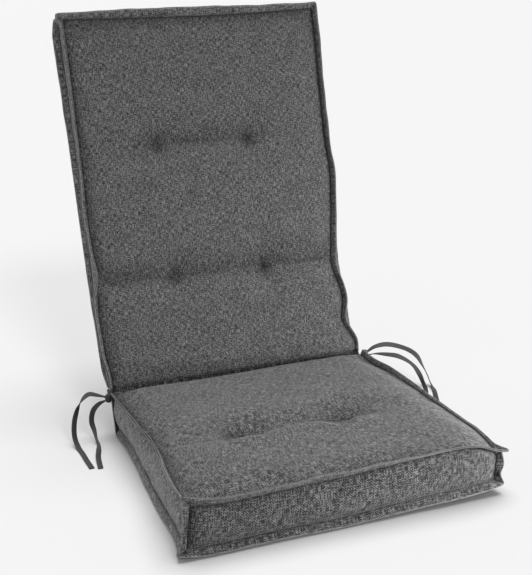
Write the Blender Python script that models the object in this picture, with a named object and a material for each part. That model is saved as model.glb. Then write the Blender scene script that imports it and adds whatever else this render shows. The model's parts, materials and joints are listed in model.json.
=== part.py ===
"""Tufted two-section cushion for a high-back garden or recliner chair.

A boxed seat section and a boxed back section are joined along one sewn hinge line. Each has a
foam core between two fibre layers, a fabric cover of two panels and four boxing strips whose
seam margins stand outside as a flange at 45 degrees, and tufting cords that pull the face
down. Tie tapes are sewn to both ends of the hinge line.

Both sections are modelled in the same local frame: the origin lies on the hinge axis, x runs
across the cushion, v is the distance from the hinge, and z points out of the padded face. The
seat lies with the flat of its underside on z = 0 of the world, and the back leans up from its
rear edge.
"""

import math
from dataclasses import dataclass

import bmesh
import bpy
from mathutils import Vector

# Driving dimensions, in metres.
WIDTH = 0.500  # seam to seam, both sections
SEAT_LENGTH = 0.485
BACK_LENGTH = 0.690
SEAT_BOXING = 0.065  # height of the strips between the two seams
BACK_BOXING = 0.032
SEAT_CROWN = 0.010  # how far the padded face rises above its seam
BACK_CROWN = 0.009
SEAT_BULGE = 0.012  # how far the underside bulges past its seam
BACK_BULGE = 0.006
BACK_RISE = math.radians(73)  # angle of the back above the seat's plane
MARGIN = 0.012  # seam margins left outside as a flange
SLANT = MARGIN / math.sqrt(2)  # a margin's run outwards, and its rise or fall from the seam
CLOTH = 0.0012
FLAP_SLANT = SLANT - CLOTH  # the same on a boxing strip, which has its thickness outside it
GAP = 0.0005  # between parts that touch
CREASE = 0.001  # the crowned faces stop this far short of the hinge axis

# Layers inside each section.
THINNEST_WADDING = 0.0015  # what is left of a layer under a tuft or at the lower seams
RIM = 0.055  # the underside is flat up to this far from its seams

# Tufting.
TUFT_SPACING = 0.178
SEAT_TUFT_CENTRE = -0.005  # the tied pairs sit a little left of the middle
BACK_TUFT_CENTRE = -0.014
SEAT_TUFT_ROW = 0.292  # distance from the hinge
BACK_TUFT_ROWS = (("lower", 0.193), ("upper", 0.442))
TUFT_FLAT = 0.006  # radius of the flat at the bottom of a dimple
TUFT_HOLE = 0.0018  # half the side of the hole that a cord passes
TUFT_STEM = 0.0024
TUFT_BAR = (0.009, 0.0014)  # width and height of the stitched bar on the face

# The sewn hinge line: a tape folded along the axis, one leaf on each section.
LEAF_START = 0.0003
LEAF = 0.0008
LEAF_DEPTH = 0.012
HINGE_BOXING = LEAF_START + LEAF + GAP  # where the boxing strips at the hinge begin
INSIDE = HINGE_BOXING + CLOTH + GAP  # where the filling begins

# Tie tapes.
TIE_WIDTH = 0.010
TIE_THICKNESS = 0.0016
TIE_POINT_PITCH = 0.016
TAB = (0.003, 0.010, 0.014)
TAB_INNER = WIDTH / 2 + SLANT + 0.0003
TIE_START = TAB_INNER + TAB[0] + 0.0012  # room for a slanting end
TAB_SETBACK = 0.003  # the tabs' centre is this far in front of the hinge line
TIE_LYING = 0.0012  # height of a tape's middle where it lies on the floor

SEAT_GRID = 0.055
BACK_GRID = 0.062

HALF = WIDTH / 2
HINGE_Y = SEAT_LENGTH / 2
HINGE_Z = SEAT_BULGE + SEAT_BOXING + SEAT_CROWN + CREASE

# Each tie leaves its tab, arches over and lies along the floor. Points are (x, y, z), with y
# counted from the hinge line.
TIES = {
    "left_tie_outer": (
        (-TIE_START, -TAB_SETBACK, 0.0790),
        (-0.2768, -0.003, 0.0845),
        (-0.2909, -0.003, 0.0885),
        (-0.3024, -0.003, 0.0817),
        (-0.3115, -0.004, 0.0695),
        (-0.3205, -0.008, 0.0490),
        (-0.3250, -0.014, 0.0280),
        (-0.3250, -0.021, 0.0125),
        (-0.3225, -0.037, 0.0025),
        (-0.3205, -0.060, TIE_LYING),
        (-0.3195, -0.092, TIE_LYING),
        (-0.3175, -0.127, TIE_LYING),
    ),
    "left_tie_inner": (
        (-TIE_START, -TAB_SETBACK, 0.0715),
        (-0.2755, -0.003, 0.0665),
        (-0.2865, -0.004, 0.0555),
        (-0.2912, -0.008, 0.0380),
        (-0.2885, -0.014, 0.0215),
        (-0.2875, -0.022, 0.0090),
        (-0.2878, -0.038, 0.0025),
        (-0.2920, -0.060, TIE_LYING),
        (-0.2985, -0.089, TIE_LYING),
        (-0.3040, -0.133, TIE_LYING),
    ),
    "right_tie_outer": (
        (TIE_START, -TAB_SETBACK, 0.0870),
        (0.2760, -0.003, 0.0935),
        (0.2930, -0.003, 0.0960),
        (0.3100, -0.002, 0.0940),
        (0.3329, 0.000, 0.0860),
        (0.3565, 0.000, 0.0742),
        (0.3727, -0.002, 0.0600),
        (0.3825, -0.006, 0.0408),
        (0.3900, -0.012, 0.0222),
        (0.3920, -0.020, 0.0095),
        (0.3900, -0.036, 0.0025),
        (0.3840, -0.054, TIE_LYING),
        (0.3677, -0.090, TIE_LYING),
        (0.3560, -0.118, TIE_LYING),
        (0.3450, -0.146, TIE_LYING),
        (0.3350, -0.172, TIE_LYING),
    ),
    "right_tie_inner": (
        (TIE_START, -TAB_SETBACK, 0.0795),
        (0.2824, -0.002, 0.0790),
        (0.3089, 0.000, 0.0725),
        (0.3290, 0.000, 0.0665),
        (0.3492, -0.001, 0.0549),
        (0.3645, -0.004, 0.0410),
        (0.3745, -0.009, 0.0236),
        (0.3780, -0.017, 0.0090),
        (0.3755, -0.031, 0.0025),
        (0.3690, -0.046, TIE_LYING),
        (0.3570, -0.070, TIE_LYING),
        (0.3450, -0.096, TIE_LYING),
        (0.3350, -0.122, TIE_LYING),
        (0.3260, -0.149, TIE_LYING),
    ),
}
TAB_HEIGHTS = {"left": 0.0752, "right": 0.0832}  # height of each tab's middle


@dataclass
class Section:
    """One boxed half of the cushion, in its local frame."""

    prefix: str
    sides: dict  # what the face, the underside and the two ends are called
    frame: bpy.types.Object  # the empty on the hinge axis that carries it
    direction: int  # +1 where v runs along local +Y, -1 where it runs along -Y
    length: float
    boxing: float
    crown: float
    bulge: float
    grid: float
    tufts: list  # (label, x, v)
    tuft_depth: float  # from the crest to the bottom of a dimple
    tuft_spread: float

    @property
    def crest(self):
        return -CREASE

    @property
    def seam(self):
        return self.crest - self.crown

    @property
    def under_seam(self):
        return self.seam - self.boxing

    @property
    def base(self):
        return self.under_seam - self.bulge

    @property
    def tuft_floor(self):
        return self.crest - self.tuft_depth

    def name(self, side, piece):
        return f"{self.prefix}_{self.sides[side]}_{piece}"

    def place(self, x, v, z):
        return Vector((x, self.direction * v, z))

    def margin(self, x, v):
        """How far a point lies outside the seams, in the slanting margins."""
        return max(0, abs(x) - HALF, v - self.length)

    def under(self, x, v):
        """Height of the underside: flat, and raised to its seams all round."""
        from_seam = max(0, min(HALF - abs(x), v - HINGE_BOXING, self.length - v))
        return self.under_seam - self.bulge * min(1, from_seam / RIM) - self.margin(x, v)

    def face(self, x, v):
        """Height of the padded face: crowned, and drawn down to a small flat at each tuft."""
        across = 1 - min(1, abs(x) / HALF) ** 3
        along = 1 - min(1, v / self.length) ** 5
        plain = self.seam + self.crown * across * along + self.margin(x, v)
        pull = 0
        for _, tuft_x, tuft_v in self.tufts:
            away = max(0, math.hypot(x - tuft_x, v - tuft_v) - TUFT_FLAT * math.sqrt(2))
            pull = max(pull, math.exp(-((away / self.tuft_spread) ** 2)))
        return plain + (self.tuft_floor - plain) * pull


def clear_scene():
    for item in list(bpy.data.objects):
        bpy.data.objects.remove(item)


def make_material(name, colour, roughness):
    material = bpy.data.materials.new(name)
    material.use_nodes = True
    shader = material.node_tree.nodes["Principled BSDF"]
    shader.inputs["Base Color"].default_value = (*colour, 1)
    shader.inputs["Roughness"].default_value = roughness
    shader.inputs["Metallic"].default_value = 0
    return material


def make_frame(name, location, rise):
    frame = bpy.data.objects.new(name, None)
    bpy.context.collection.objects.link(frame)
    frame.location = location
    frame.rotation_euler = (rise, 0, 0)
    return frame


def add_object(name, bm, material, frame):
    """Closes the mesh, turns its faces outwards and links it under its frame."""
    bmesh.ops.recalc_face_normals(bm, faces=bm.faces)
    mesh = bpy.data.meshes.new(name)
    bm.to_mesh(mesh)
    bm.free()
    mesh.materials.append(material)
    made = bpy.data.objects.new(name, mesh)
    made.parent = frame
    bpy.context.collection.objects.link(made)
    return made


def grid_lines(start, end, pitch, tuft_places):
    """Lines at an even pitch, with four close ones at every tuft that bound its flat and hole."""
    close = []
    for place in sorted(set(tuft_places)):
        close += [place + side for side in (-TUFT_FLAT, -TUFT_HOLE, TUFT_HOLE, TUFT_FLAT)]
    count = max(1, round((end - start) / pitch))
    even = [start + (end - start) * i / count for i in range(count + 1)]
    clearance = pitch / 3
    kept = [line for line in even if all(abs(line - other) > clearance for other in close)]
    return sorted({start, end, *kept, *close})


def layer(section, name, material, xs, vs, low, high):
    """A closed slab over a grid between two height functions, with a hole for each tuft cord."""
    bm = bmesh.new()
    rows = [
        [
            [bm.verts.new(section.place(x, v, height(x, v))) for v in vs]
            for x in xs
        ]
        for height in (low, high)
    ]

    def is_solid(i, j):
        if not (0 <= i < len(xs) - 1 and 0 <= j < len(vs) - 1):
            return False
        middle_x = (xs[i] + xs[i + 1]) / 2
        middle_v = (vs[j] + vs[j + 1]) / 2
        return all(
            max(abs(middle_x - x), abs(middle_v - v)) > TUFT_HOLE for _, x, v in section.tufts
        )

    for i in range(len(xs) - 1):
        for j in range(len(vs) - 1):
            if not is_solid(i, j):
                continue
            corners = ((i, j), (i + 1, j), (i + 1, j + 1), (i, j + 1))
            for row in rows:
                bm.faces.new([row[a][b] for a, b in corners])
            beyond = ((i, j - 1), (i + 1, j), (i, j + 1), (i - 1, j))
            for side, neighbour in enumerate(beyond):
                if is_solid(*neighbour):
                    continue
                a, b = corners[side]
                c, d = corners[(side + 1) % 4]
                bm.faces.new((rows[0][a][b], rows[0][c][d], rows[1][c][d], rows[1][a][b]))
    loose = [vert for vert in bm.verts if not vert.link_faces]
    bmesh.ops.delete(bm, geom=loose, context="VERTS")
    return add_object(name, bm, material, section.frame)


def level(height):
    return lambda x, v: height


def rim_lines(start, end, tuft_places):
    """Lines for the underside: its ends, where it turns flat, and those at the tufts."""
    return sorted({*grid_lines(start + RIM, end - RIM, end - start, tuft_places), start, end})


def filling(section, foam, fibre):
    """The foam core and the fibre layers above and below it."""
    low_x, high_x = -HALF + GAP, HALF - GAP
    end = section.length - GAP
    tuft_xs = [x for _, x, _ in section.tufts]
    tuft_vs = [v for _, _, v in section.tufts]
    foam_start = section.under_seam + CLOTH + THINNEST_WADDING + 2 * GAP
    foam_end = section.tuft_floor - CLOTH - THINNEST_WADDING - 2 * GAP
    layer(
        section, section.name("under", "wadding"), fibre,
        rim_lines(low_x, high_x, tuft_xs), rim_lines(INSIDE, end, tuft_vs),
        lambda x, v: section.under(x, v) + CLOTH + GAP, level(foam_start - GAP),
    )
    layer(
        section, f"{section.prefix}_foam_core", foam,
        grid_lines(low_x, high_x, WIDTH, tuft_xs),
        grid_lines(INSIDE, end, section.length, tuft_vs),
        level(foam_start), level(foam_end),
    )
    layer(
        section, section.name("face", "wadding"), fibre,
        grid_lines(low_x, high_x, section.grid, tuft_xs),
        grid_lines(INSIDE, end, section.grid, tuft_vs),
        level(foam_end + GAP), lambda x, v: section.face(x, v) - CLOTH - GAP,
    )


def panels(section, cloth):
    """The padded face and the underside, both with a margin on their three free edges."""
    tuft_xs = [x for _, x, _ in section.tufts]
    tuft_vs = [v for _, _, v in section.tufts]
    end = section.length
    xs = grid_lines(-HALF, HALF, section.grid, tuft_xs)
    vs = grid_lines(HINGE_BOXING, end, section.grid, tuft_vs)
    face_panel = layer(
        section, section.name("face", "panel"), cloth,
        [-HALF - SLANT, *xs, HALF + SLANT], [*vs, end + SLANT],
        lambda x, v: section.face(x, v) - CLOTH, section.face,
    )
    face_panel.data.shade_smooth()
    face_panel.data.set_sharp_from_angle(angle=math.radians(40))
    layer(
        section, section.name("under", "panel"), cloth,
        [-HALF - SLANT, *rim_lines(-HALF, HALF, tuft_xs), HALF + SLANT],
        [*rim_lines(HINGE_BOXING, end, tuft_vs), end + SLANT],
        section.under, lambda x, v: section.under(x, v) + CLOTH,
    )
    return xs


def tray(section, name, material, web, tips):
    """A boxing strip: a web whose margins slant out on all four sides, one cloth thick.

    web and tips hold the (x, v) of the web's two ends and of the margins' tips beyond them.
    """
    bm = bmesh.new()
    low = section.under_seam + CLOTH + GAP
    high = section.seam - CLOTH - GAP
    inner = [[bm.verts.new(section.place(*end, z)) for end in web] for z in (low, high)]
    outer = [
        [bm.verts.new(section.place(*end, z)) for end in tips]
        for z in (low - FLAP_SLANT, high + FLAP_SLANT)
    ]
    bm.faces.new((inner[0][0], inner[0][1], inner[1][1], inner[1][0]))
    for k in range(2):
        bm.faces.new((inner[k][0], inner[k][1], outer[k][1], outer[k][0]))
        bm.faces.new((inner[0][k], inner[1][k], outer[1][k], outer[0][k]))
    opening = sum((vert.co for row in outer for vert in row), Vector())
    opening -= sum((vert.co for row in inner for vert in row), Vector())
    made = add_object(name, bm, material, section.frame)
    # The cloth's thickness goes to the open side of the tray, where the margins are.
    if made.data.polygons[0].normal.dot(opening) < 0:
        made.data.flip_normals()
    solidify = made.modifiers.new("cloth", "SOLIDIFY")
    solidify.thickness = CLOTH
    solidify.offset = 1
    solidify.use_even_offset = True
    return made


def prism(section, name, material, outline, half_depth, v):
    """An (x, z) outline drawn out along v, the same distance both ways."""
    bm = bmesh.new()
    sides = [
        [bm.verts.new(section.place(x, v + step, z)) for x, z in outline]
        for step in (-half_depth, half_depth)
    ]
    for side in sides:
        bm.faces.new(side)
    for i in range(len(outline)):
        j = (i + 1) % len(outline)
        bm.faces.new((sides[0][i], sides[0][j], sides[1][j], sides[1][i]))
    return add_object(name, bm, material, section.frame)


def boxing(section, cloth, xs):
    """Three trays round the free edges, and a flat strip with arched edges at the hinge."""
    end = section.length
    for side, sign in (("left", -1), ("right", 1)):
        x = sign * HALF
        tip = sign * (HALF + FLAP_SLANT)
        tray(
            section, f"{section.prefix}_{side}_boxing", cloth,
            ((x, INSIDE), (x, end - GAP)),
            ((tip, INSIDE), (tip, end + FLAP_SLANT - GAP)),
        )
    tray(
        section, section.name("end", "boxing"), cloth,
        ((-HALF + GAP, end), (HALF - GAP, end)),
        (
            (-HALF - FLAP_SLANT + GAP, end + FLAP_SLANT),
            (HALF + FLAP_SLANT - GAP, end + FLAP_SLANT),
        ),
    )
    tip = HALF + SLANT
    outline = [(x, section.face(x, HINGE_BOXING) - CLOTH - GAP) for x in (-tip, *xs, tip)]
    outline += [(x, section.under(x, HINGE_BOXING) + CLOTH + GAP) for x in (tip, HALF, -HALF, -tip)]
    prism(
        section, section.name("hinge", "boxing"), cloth, outline,
        CLOTH / 2, HINGE_BOXING + CLOTH / 2,
    )


def tuft_cords(section, thread):
    """Each cord runs through the whole section and ends in a stitched bar on the face."""
    stem = TUFT_STEM / 2
    bar = TUFT_BAR[0] / 2
    bottom = section.base + GAP
    shoulder = section.tuft_floor + GAP
    top = shoulder + TUFT_BAR[1]
    for label, x, v in section.tufts:
        outline = [
            (x - stem, bottom), (x + stem, bottom), (x + stem, shoulder), (x + bar, shoulder),
            (x + bar, top), (x - bar, top), (x - bar, shoulder), (x - stem, shoulder),
        ]
        prism(section, f"{section.prefix}_{label}_tuft_cord", thread, outline, stem, v)


def hinge_leaf(section, tape):
    """One leaf of the folded tape: it hangs from the hinge line, behind the boxing."""
    stations = [HALF * i / 6 for i in range(-6, 7)]
    top = [(x, section.face(x, HINGE_BOXING) - CLOTH - GAP) for x in stations]
    bottom = [(x, z - LEAF_DEPTH) for x, z in reversed(top)]
    prism(
        section, f"{section.prefix}_hinge_tape_leaf", tape, top + bottom,
        LEAF / 2, LEAF_START + LEAF / 2,
    )


def build_section(section, materials):
    filling(section, materials["foam"], materials["fibre"])
    xs = panels(section, materials["cover"])
    boxing(section, materials["cover"], xs)
    tuft_cords(section, materials["thread"])
    hinge_leaf(section, materials["tape"])


def tie_tab(side, frame, tape):
    """The folded ends of a pair of ties, bar-tacked to the corner margin at the hinge line."""
    sign = -1 if side == "left" else 1
    bm = bmesh.new()
    bmesh.ops.create_cube(bm, size=1)
    bmesh.ops.scale(bm, vec=TAB, verts=bm.verts)
    tab = add_object(f"{side}_tie_tab", bm, tape, frame)
    tab.location = (sign * (TAB_INNER + TAB[0] / 2), -TAB_SETBACK, TAB_HEIGHTS[side] - HINGE_Z)
    return tab


def smooth_route(points, pitch):
    """Points at about an even pitch on a Catmull-Rom curve through the given ones."""
    points = [Vector(point) for point in points]
    ends = [2 * points[0] - points[1], *points, 2 * points[-1] - points[-2]]
    steps = 12
    fine = [points[0]]
    for a, b, c, d in zip(ends, ends[1:], ends[2:], ends[3:]):
        for step in range(1, steps + 1):
            t = step / steps
            fine.append(
                0.5 * (2 * b + (c - a) * t + (2 * a - 5 * b + 4 * c - d) * t**2
                       + (3 * b - a - 3 * c + d) * t**3)
            )
    length = sum((b - a).length for a, b in zip(fine, fine[1:]))
    count = round(length / pitch)
    route = [fine[0]]
    walked = 0
    for a, b in zip(fine, fine[1:]):
        span = (b - a).length
        while len(route) < count and walked + span >= length * len(route) / count:
            route.append(a.lerp(b, (length * len(route) / count - walked) / span))
        walked += span
    return [*route, fine[-1]]


def tie(name, points, frame, tape):
    """A flat tape along its route, with its width level across the route."""
    curve = bpy.data.curves.new(name, "CURVE")
    curve.dimensions = "3D"
    curve.twist_mode = "Z_UP"
    curve.fill_mode = "FULL"
    curve.bevel_depth = TIE_THICKNESS / 2
    curve.bevel_resolution = 1
    curve.extrude = (TIE_WIDTH - TIE_THICKNESS) / 2
    curve.use_fill_caps = True
    spline = curve.splines.new("POLY")
    route = smooth_route(points, TIE_POINT_PITCH)
    spline.points.add(len(route) - 1)
    for point, place in zip(spline.points, route):
        point.co = (place.x, place.y, place.z - HINGE_Z, 1)
        point.tilt = math.radians(90)
    curve.materials.append(tape)
    made = bpy.data.objects.new(name, curve)
    made.parent = frame
    bpy.context.collection.objects.link(made)
    return made


def main():
    clear_scene()
    materials = {
        "cover": make_material("cover_fabric", (0.125, 0.123, 0.126), 0.95),
        "foam": make_material("foam", (0.80, 0.78, 0.68), 0.9),
        "fibre": make_material("fibre_wadding", (0.85, 0.85, 0.84), 1.0),
        "thread": make_material("thread", (0.05, 0.05, 0.05), 0.8),
        "tape": make_material("tape", (0.05, 0.05, 0.052), 0.85),
    }
    seat_frame = make_frame("seat_frame", (0, HINGE_Y, HINGE_Z), 0)
    back_frame = make_frame("back_frame", (0, HINGE_Y, HINGE_Z), BACK_RISE)
    sides = (("left", -TUFT_SPACING / 2), ("right", TUFT_SPACING / 2))
    seat = Section(
        prefix="seat",
        sides={"face": "top", "under": "bottom", "end": "front", "hinge": "rear"},
        frame=seat_frame,
        direction=-1,
        length=SEAT_LENGTH,
        boxing=SEAT_BOXING,
        crown=SEAT_CROWN,
        bulge=SEAT_BULGE,
        grid=SEAT_GRID,
        tufts=[(side, SEAT_TUFT_CENTRE + x, SEAT_TUFT_ROW) for side, x in sides],
        tuft_depth=0.026,
        tuft_spread=0.042,
    )
    back = Section(
        prefix="back",
        sides={"face": "front", "under": "rear", "end": "top", "hinge": "bottom"},
        frame=back_frame,
        direction=1,
        length=BACK_LENGTH,
        boxing=BACK_BOXING,
        crown=BACK_CROWN,
        bulge=BACK_BULGE,
        grid=BACK_GRID,
        tufts=[
            (f"{row}_{side}", BACK_TUFT_CENTRE + x, v)
            for row, v in BACK_TUFT_ROWS
            for side, x in sides
        ],
        tuft_depth=0.014,
        tuft_spread=0.040,
    )
    build_section(seat, materials)
    build_section(back, materials)
    for side in ("left", "right"):
        tie_tab(side, seat_frame, materials["tape"])
    for name, points in TIES.items():
        tie(name, points, seat_frame, materials["tape"])


main()
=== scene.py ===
"""Looks of the tufted two-section chair cushion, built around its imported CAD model.

Both sections are made in the CAD's local frames: the origin lies on the hinge axis, x runs
across, v is the distance from the hinge and z points out of the padded face. Each section is a
grid of cover cloth that is blown up by a cloth simulation between its pinned seams and tufts,
then cut along the seams into its panels and boxing strips. The seam margins are swept along
the seams as two layers of cloth.
"""

import json
import math
from dataclasses import dataclass

import bmesh
import bpy
import numpy as np
from mathutils import Matrix, Vector, noise


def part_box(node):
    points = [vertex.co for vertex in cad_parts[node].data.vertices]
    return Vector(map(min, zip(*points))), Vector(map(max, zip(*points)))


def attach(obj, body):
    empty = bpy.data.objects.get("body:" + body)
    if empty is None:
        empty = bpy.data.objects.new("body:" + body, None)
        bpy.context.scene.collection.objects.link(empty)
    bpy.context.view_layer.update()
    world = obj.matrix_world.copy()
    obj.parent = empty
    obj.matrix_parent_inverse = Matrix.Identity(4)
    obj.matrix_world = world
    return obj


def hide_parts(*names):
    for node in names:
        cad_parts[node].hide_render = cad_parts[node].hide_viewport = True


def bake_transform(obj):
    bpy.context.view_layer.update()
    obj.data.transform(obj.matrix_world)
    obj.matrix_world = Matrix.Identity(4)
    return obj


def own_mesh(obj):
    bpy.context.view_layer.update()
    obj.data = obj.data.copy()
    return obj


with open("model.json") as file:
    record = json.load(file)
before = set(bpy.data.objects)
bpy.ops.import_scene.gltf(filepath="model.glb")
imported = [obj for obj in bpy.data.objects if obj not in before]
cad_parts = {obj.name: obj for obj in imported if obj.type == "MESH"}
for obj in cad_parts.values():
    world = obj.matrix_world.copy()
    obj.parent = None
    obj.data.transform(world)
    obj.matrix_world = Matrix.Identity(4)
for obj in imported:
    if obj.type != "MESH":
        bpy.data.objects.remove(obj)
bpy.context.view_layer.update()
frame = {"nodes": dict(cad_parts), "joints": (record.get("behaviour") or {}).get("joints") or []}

# ---------------------------------------------------------------- the CAD's frame

HINGE = frame["joints"][0]
AXIS = np.array(HINGE["pos_m"])
RISE = math.radians(-HINGE["range_deg"][0])  # the sections lie flat at the lower limit
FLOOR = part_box("seat_bottom_panel")[0].z
SEAT_FRAME = np.array(((1, 0, 0), (0, -1, 0), (0, 0, 1)), float)
BACK_FRAME = np.array(
    ((1, 0, 0), (0, math.cos(RISE), math.sin(RISE)), (0, -math.sin(RISE), math.cos(RISE)))
)


def local_box(node, axes):
    """Lowest and highest (x, v, z) of a CAD node in a section's frame."""
    points = np.array([vert.co for vert in frame["nodes"][node].data.vertices]) - AXIS
    points = points @ axes.T
    return points.min(0), points.max(0)


# ---------------------------------------------------------------- camera

CAMERA_PLACE = (-0.606, -1.5755, 0.774)
CAMERA_PITCH = 0.26795  # radians below the horizon
CAMERA_YAW = 0.349  # from +Y towards +X
CAMERA_ROLL = -0.0342
CAMERA_LENS = 67.2


def make_camera():
    flat_right = Vector((math.cos(CAMERA_YAW), -math.sin(CAMERA_YAW), 0))
    forward = Vector((
        math.sin(CAMERA_YAW) * math.cos(CAMERA_PITCH),
        math.cos(CAMERA_YAW) * math.cos(CAMERA_PITCH),
        -math.sin(CAMERA_PITCH),
    ))
    flat_up = flat_right.cross(forward)
    right = math.cos(CAMERA_ROLL) * flat_right + math.sin(CAMERA_ROLL) * flat_up
    up = math.cos(CAMERA_ROLL) * flat_up - math.sin(CAMERA_ROLL) * flat_right
    data = bpy.data.cameras.new("camera")
    data.lens = CAMERA_LENS
    data.sensor_width = 36
    data.clip_end = 100
    camera = bpy.data.objects.new("camera", data)
    turn = Matrix((right, up, -forward)).transposed().to_4x4()
    camera.matrix_world = Matrix.Translation(CAMERA_PLACE) @ turn
    bpy.context.collection.objects.link(camera)
    bpy.context.scene.camera = camera


make_camera()


# ---------------------------------------------------------------- small helpers

def curve_through(*keys):
    """A smooth function through (place, value) pairs, level beyond its ends."""
    places, values = (np.array(column, float) for column in zip(*keys))
    slopes = np.gradient(values, places)

    def value(at):
        at = np.clip(at, places[0], places[-1])
        k = np.clip(np.searchsorted(places, at, side="right") - 1, 0, len(places) - 2)
        span = places[k + 1] - places[k]
        t = (at - places[k]) / span
        return (
            (2 * t**3 - 3 * t**2 + 1) * values[k]
            + (t**3 - 2 * t**2 + t) * span * slopes[k]
            + (3 * t**2 - 2 * t**3) * values[k + 1]
            + (t**3 - t**2) * span * slopes[k + 1]
        )

    return value


def curve(*keys):
    """A smooth function through (place, value) pairs given in millimetres."""
    return curve_through(*np.array(keys) / 1000)


def level(value):
    """A value in millimetres that is the same everywhere."""
    return lambda at: np.full(np.shape(at), value / 1000)


def unit(vectors):
    return vectors / np.maximum(np.linalg.norm(vectors, axis=-1, keepdims=True), 1e-12)


def bell(distance, size):
    """1 at no distance, falling off both ways over about that size."""
    return np.exp(-((distance / size) ** 2))


def ease(distance, size):
    """0 at an edge, rising to 1 over about that size."""
    return 1 - np.exp(-((np.maximum(distance, 0) / size) ** 1.3))


def beyond(at, start, stop):
    """How far each place lies outside a span."""
    return np.maximum(0, np.maximum(start - at, at - stop))


def ripple(places, size, seed):
    """Smooth noise between about -1 and 1 at each place, with bumps of about that size."""
    flat = np.reshape(places, (-1, np.shape(places)[-1])) / size
    padded = np.zeros((len(flat), 3))
    padded[:, : flat.shape[1]] = flat
    padded += np.array((seed * 7.31, seed * 3.17, seed * 1.93))
    values = np.array([noise.noise(Vector(place)) for place in padded])
    return 1.6 * values.reshape(np.shape(places)[:-1])


def mesh_object(name, points, faces, material, uvs=None, smooth=True):
    """uvs holds (u, v) in metres for each point, and for the cover (seam, edge) after them:
    how far the point is from the nearest seam or tuft, and from the cloth's free edge."""
    mesh = bpy.data.meshes.new(name)
    mesh.from_pydata([tuple(point) for point in points], [], [tuple(map(int, f)) for f in faces])
    if uvs is not None:
        corners = np.zeros(len(mesh.loops), int)
        mesh.loops.foreach_get("vertex_index", corners)
        values = np.asarray(uvs, float)[corners].astype(np.float32)
        for label, pair in (("weave", values[:, :2]), ("edges", values[:, 2:4])):
            if pair.shape[1]:
                layer = mesh.uv_layers.new(name=label)
                layer.data.foreach_set("uv", pair.ravel())
    if smooth:
        mesh.shade_smooth()
    mesh.materials.append(material)
    mesh.validate()
    made = bpy.data.objects.new(name, mesh)
    bpy.context.collection.objects.link(made)
    return made


def apply_modifiers(made):
    """Swaps an object's mesh for what its modifiers make of it."""
    bpy.context.view_layer.update()
    evaluated = made.evaluated_get(bpy.context.evaluated_depsgraph_get())
    mesh = bpy.data.meshes.new_from_object(evaluated)
    made.modifiers.clear()
    made.data = mesh


def subdivide(made, levels=1):
    modifier = made.modifiers.new("smooth", "SUBSURF")
    modifier.levels = modifier.render_levels = levels
    modifier.boundary_smooth = "PRESERVE_CORNERS"
    apply_modifiers(made)


def thicken(made, thickness, offset):
    modifier = made.modifiers.new("cloth", "SOLIDIFY")
    modifier.thickness = thickness
    modifier.offset = offset
    apply_modifiers(made)


def grid_faces(rows, columns, start=0, flip=False):
    """Quads over a grid of points, row after row."""
    faces = []
    for i in range(rows - 1):
        for j in range(columns - 1):
            a = start + i * columns + j
            face = (a, a + columns, a + columns + 1, a + 1)
            faces.append(face[::-1] if flip else face)
    return faces


def ring_faces(rings, sides):
    """Quads between rings of points, ring after ring."""
    faces = []
    for i in range(rings - 1):
        for j in range(sides):
            k = (j + 1) % sides
            faces.append((i * sides + j, i * sides + k, (i + 1) * sides + k, (i + 1) * sides + j))
    return faces


def dress(made, body, slot, *nodes):
    """Puts a finished piece on its body and hides the CAD nodes it stands for; its slot is not used.
    """
    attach(made, body)
    if nodes:
        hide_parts(*nodes)
    return made


# ---------------------------------------------------------------- materials

class Nodes:
    """A few words for building a material's nodes."""

    def __init__(self, name):
        self.material = bpy.data.materials.new(name)
        self.material.use_nodes = True
        self.tree = self.material.node_tree
        self.shader = self.tree.nodes["Principled BSDF"]

    def add(self, kind, inputs=(), **settings):
        node = self.tree.nodes.new("ShaderNode" + kind)
        for key, value in settings.items():
            setattr(node, key, value)
        for key, value in dict(inputs).items():
            self.put(node.inputs[key], value)
        return node

    def put(self, socket, value):
        if isinstance(value, bpy.types.NodeSocket):
            self.tree.links.new(value, socket)
        else:
            socket.default_value = value

    def math(self, operation, *values):
        node = self.add("Math", operation=operation)
        for socket, value in zip(node.inputs, values):
            self.put(socket, value)
        return node.outputs[0]

    def uv(self, label="weave"):
        """A map's two coordinates, in metres, apart."""
        place = self.add("UVMap", uv_map=label)
        split = self.add("SeparateXYZ", {"Vector": place.outputs["UV"]})
        return split.outputs["X"], split.outputs["Y"]

    def noise(self, u, v, size_u, size_v, detail=2.0):
        """Noise with grains of these sizes, in metres, along u and v."""
        scaled = self.add(
            "CombineXYZ",
            {"X": self.math("DIVIDE", u, size_u), "Y": self.math("DIVIDE", v, size_v)},
        )
        node = self.add(
            "TexNoise",
            {"Vector": scaled.outputs[0], "Scale": 1.0, "Detail": detail, "Roughness": 0.6},
            noise_dimensions="2D",
        )
        return node.outputs["Fac"]

    def near(self, distance, reach):
        """1 at no distance, falling to 0 at the reach."""
        share = self.math("MULTIPLY_ADD", distance, -1 / reach, 1)
        return self.math("MAXIMUM", share, 0)

    def ramp(self, value, stops):
        node = self.add("ValToRGB", {"Fac": value})
        elements = node.color_ramp.elements
        while len(elements) < len(stops):
            elements.new(0.5)
        for element, (place, colour) in zip(elements, stops):
            element.position = place
            element.color = (*colour, 1)
        return node.outputs["Color"]

    def finish(self, colour, height, bump, distance, roughness, **sockets):
        self.put(self.shader.inputs["Base Color"], colour)
        if height is not None:
            node = self.add(
                "Bump", {"Strength": bump, "Distance": distance, "Height": height}
            )
            self.put(self.shader.inputs["Normal"], node.outputs["Normal"])
        self.put(self.shader.inputs["Roughness"], roughness)
        for key, value in sockets.items():
            self.put(self.shader.inputs[key.replace("_", " ")], value)
        return self.material


def grey(level):
    return (level, level * 0.985, level * 1.008)


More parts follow.
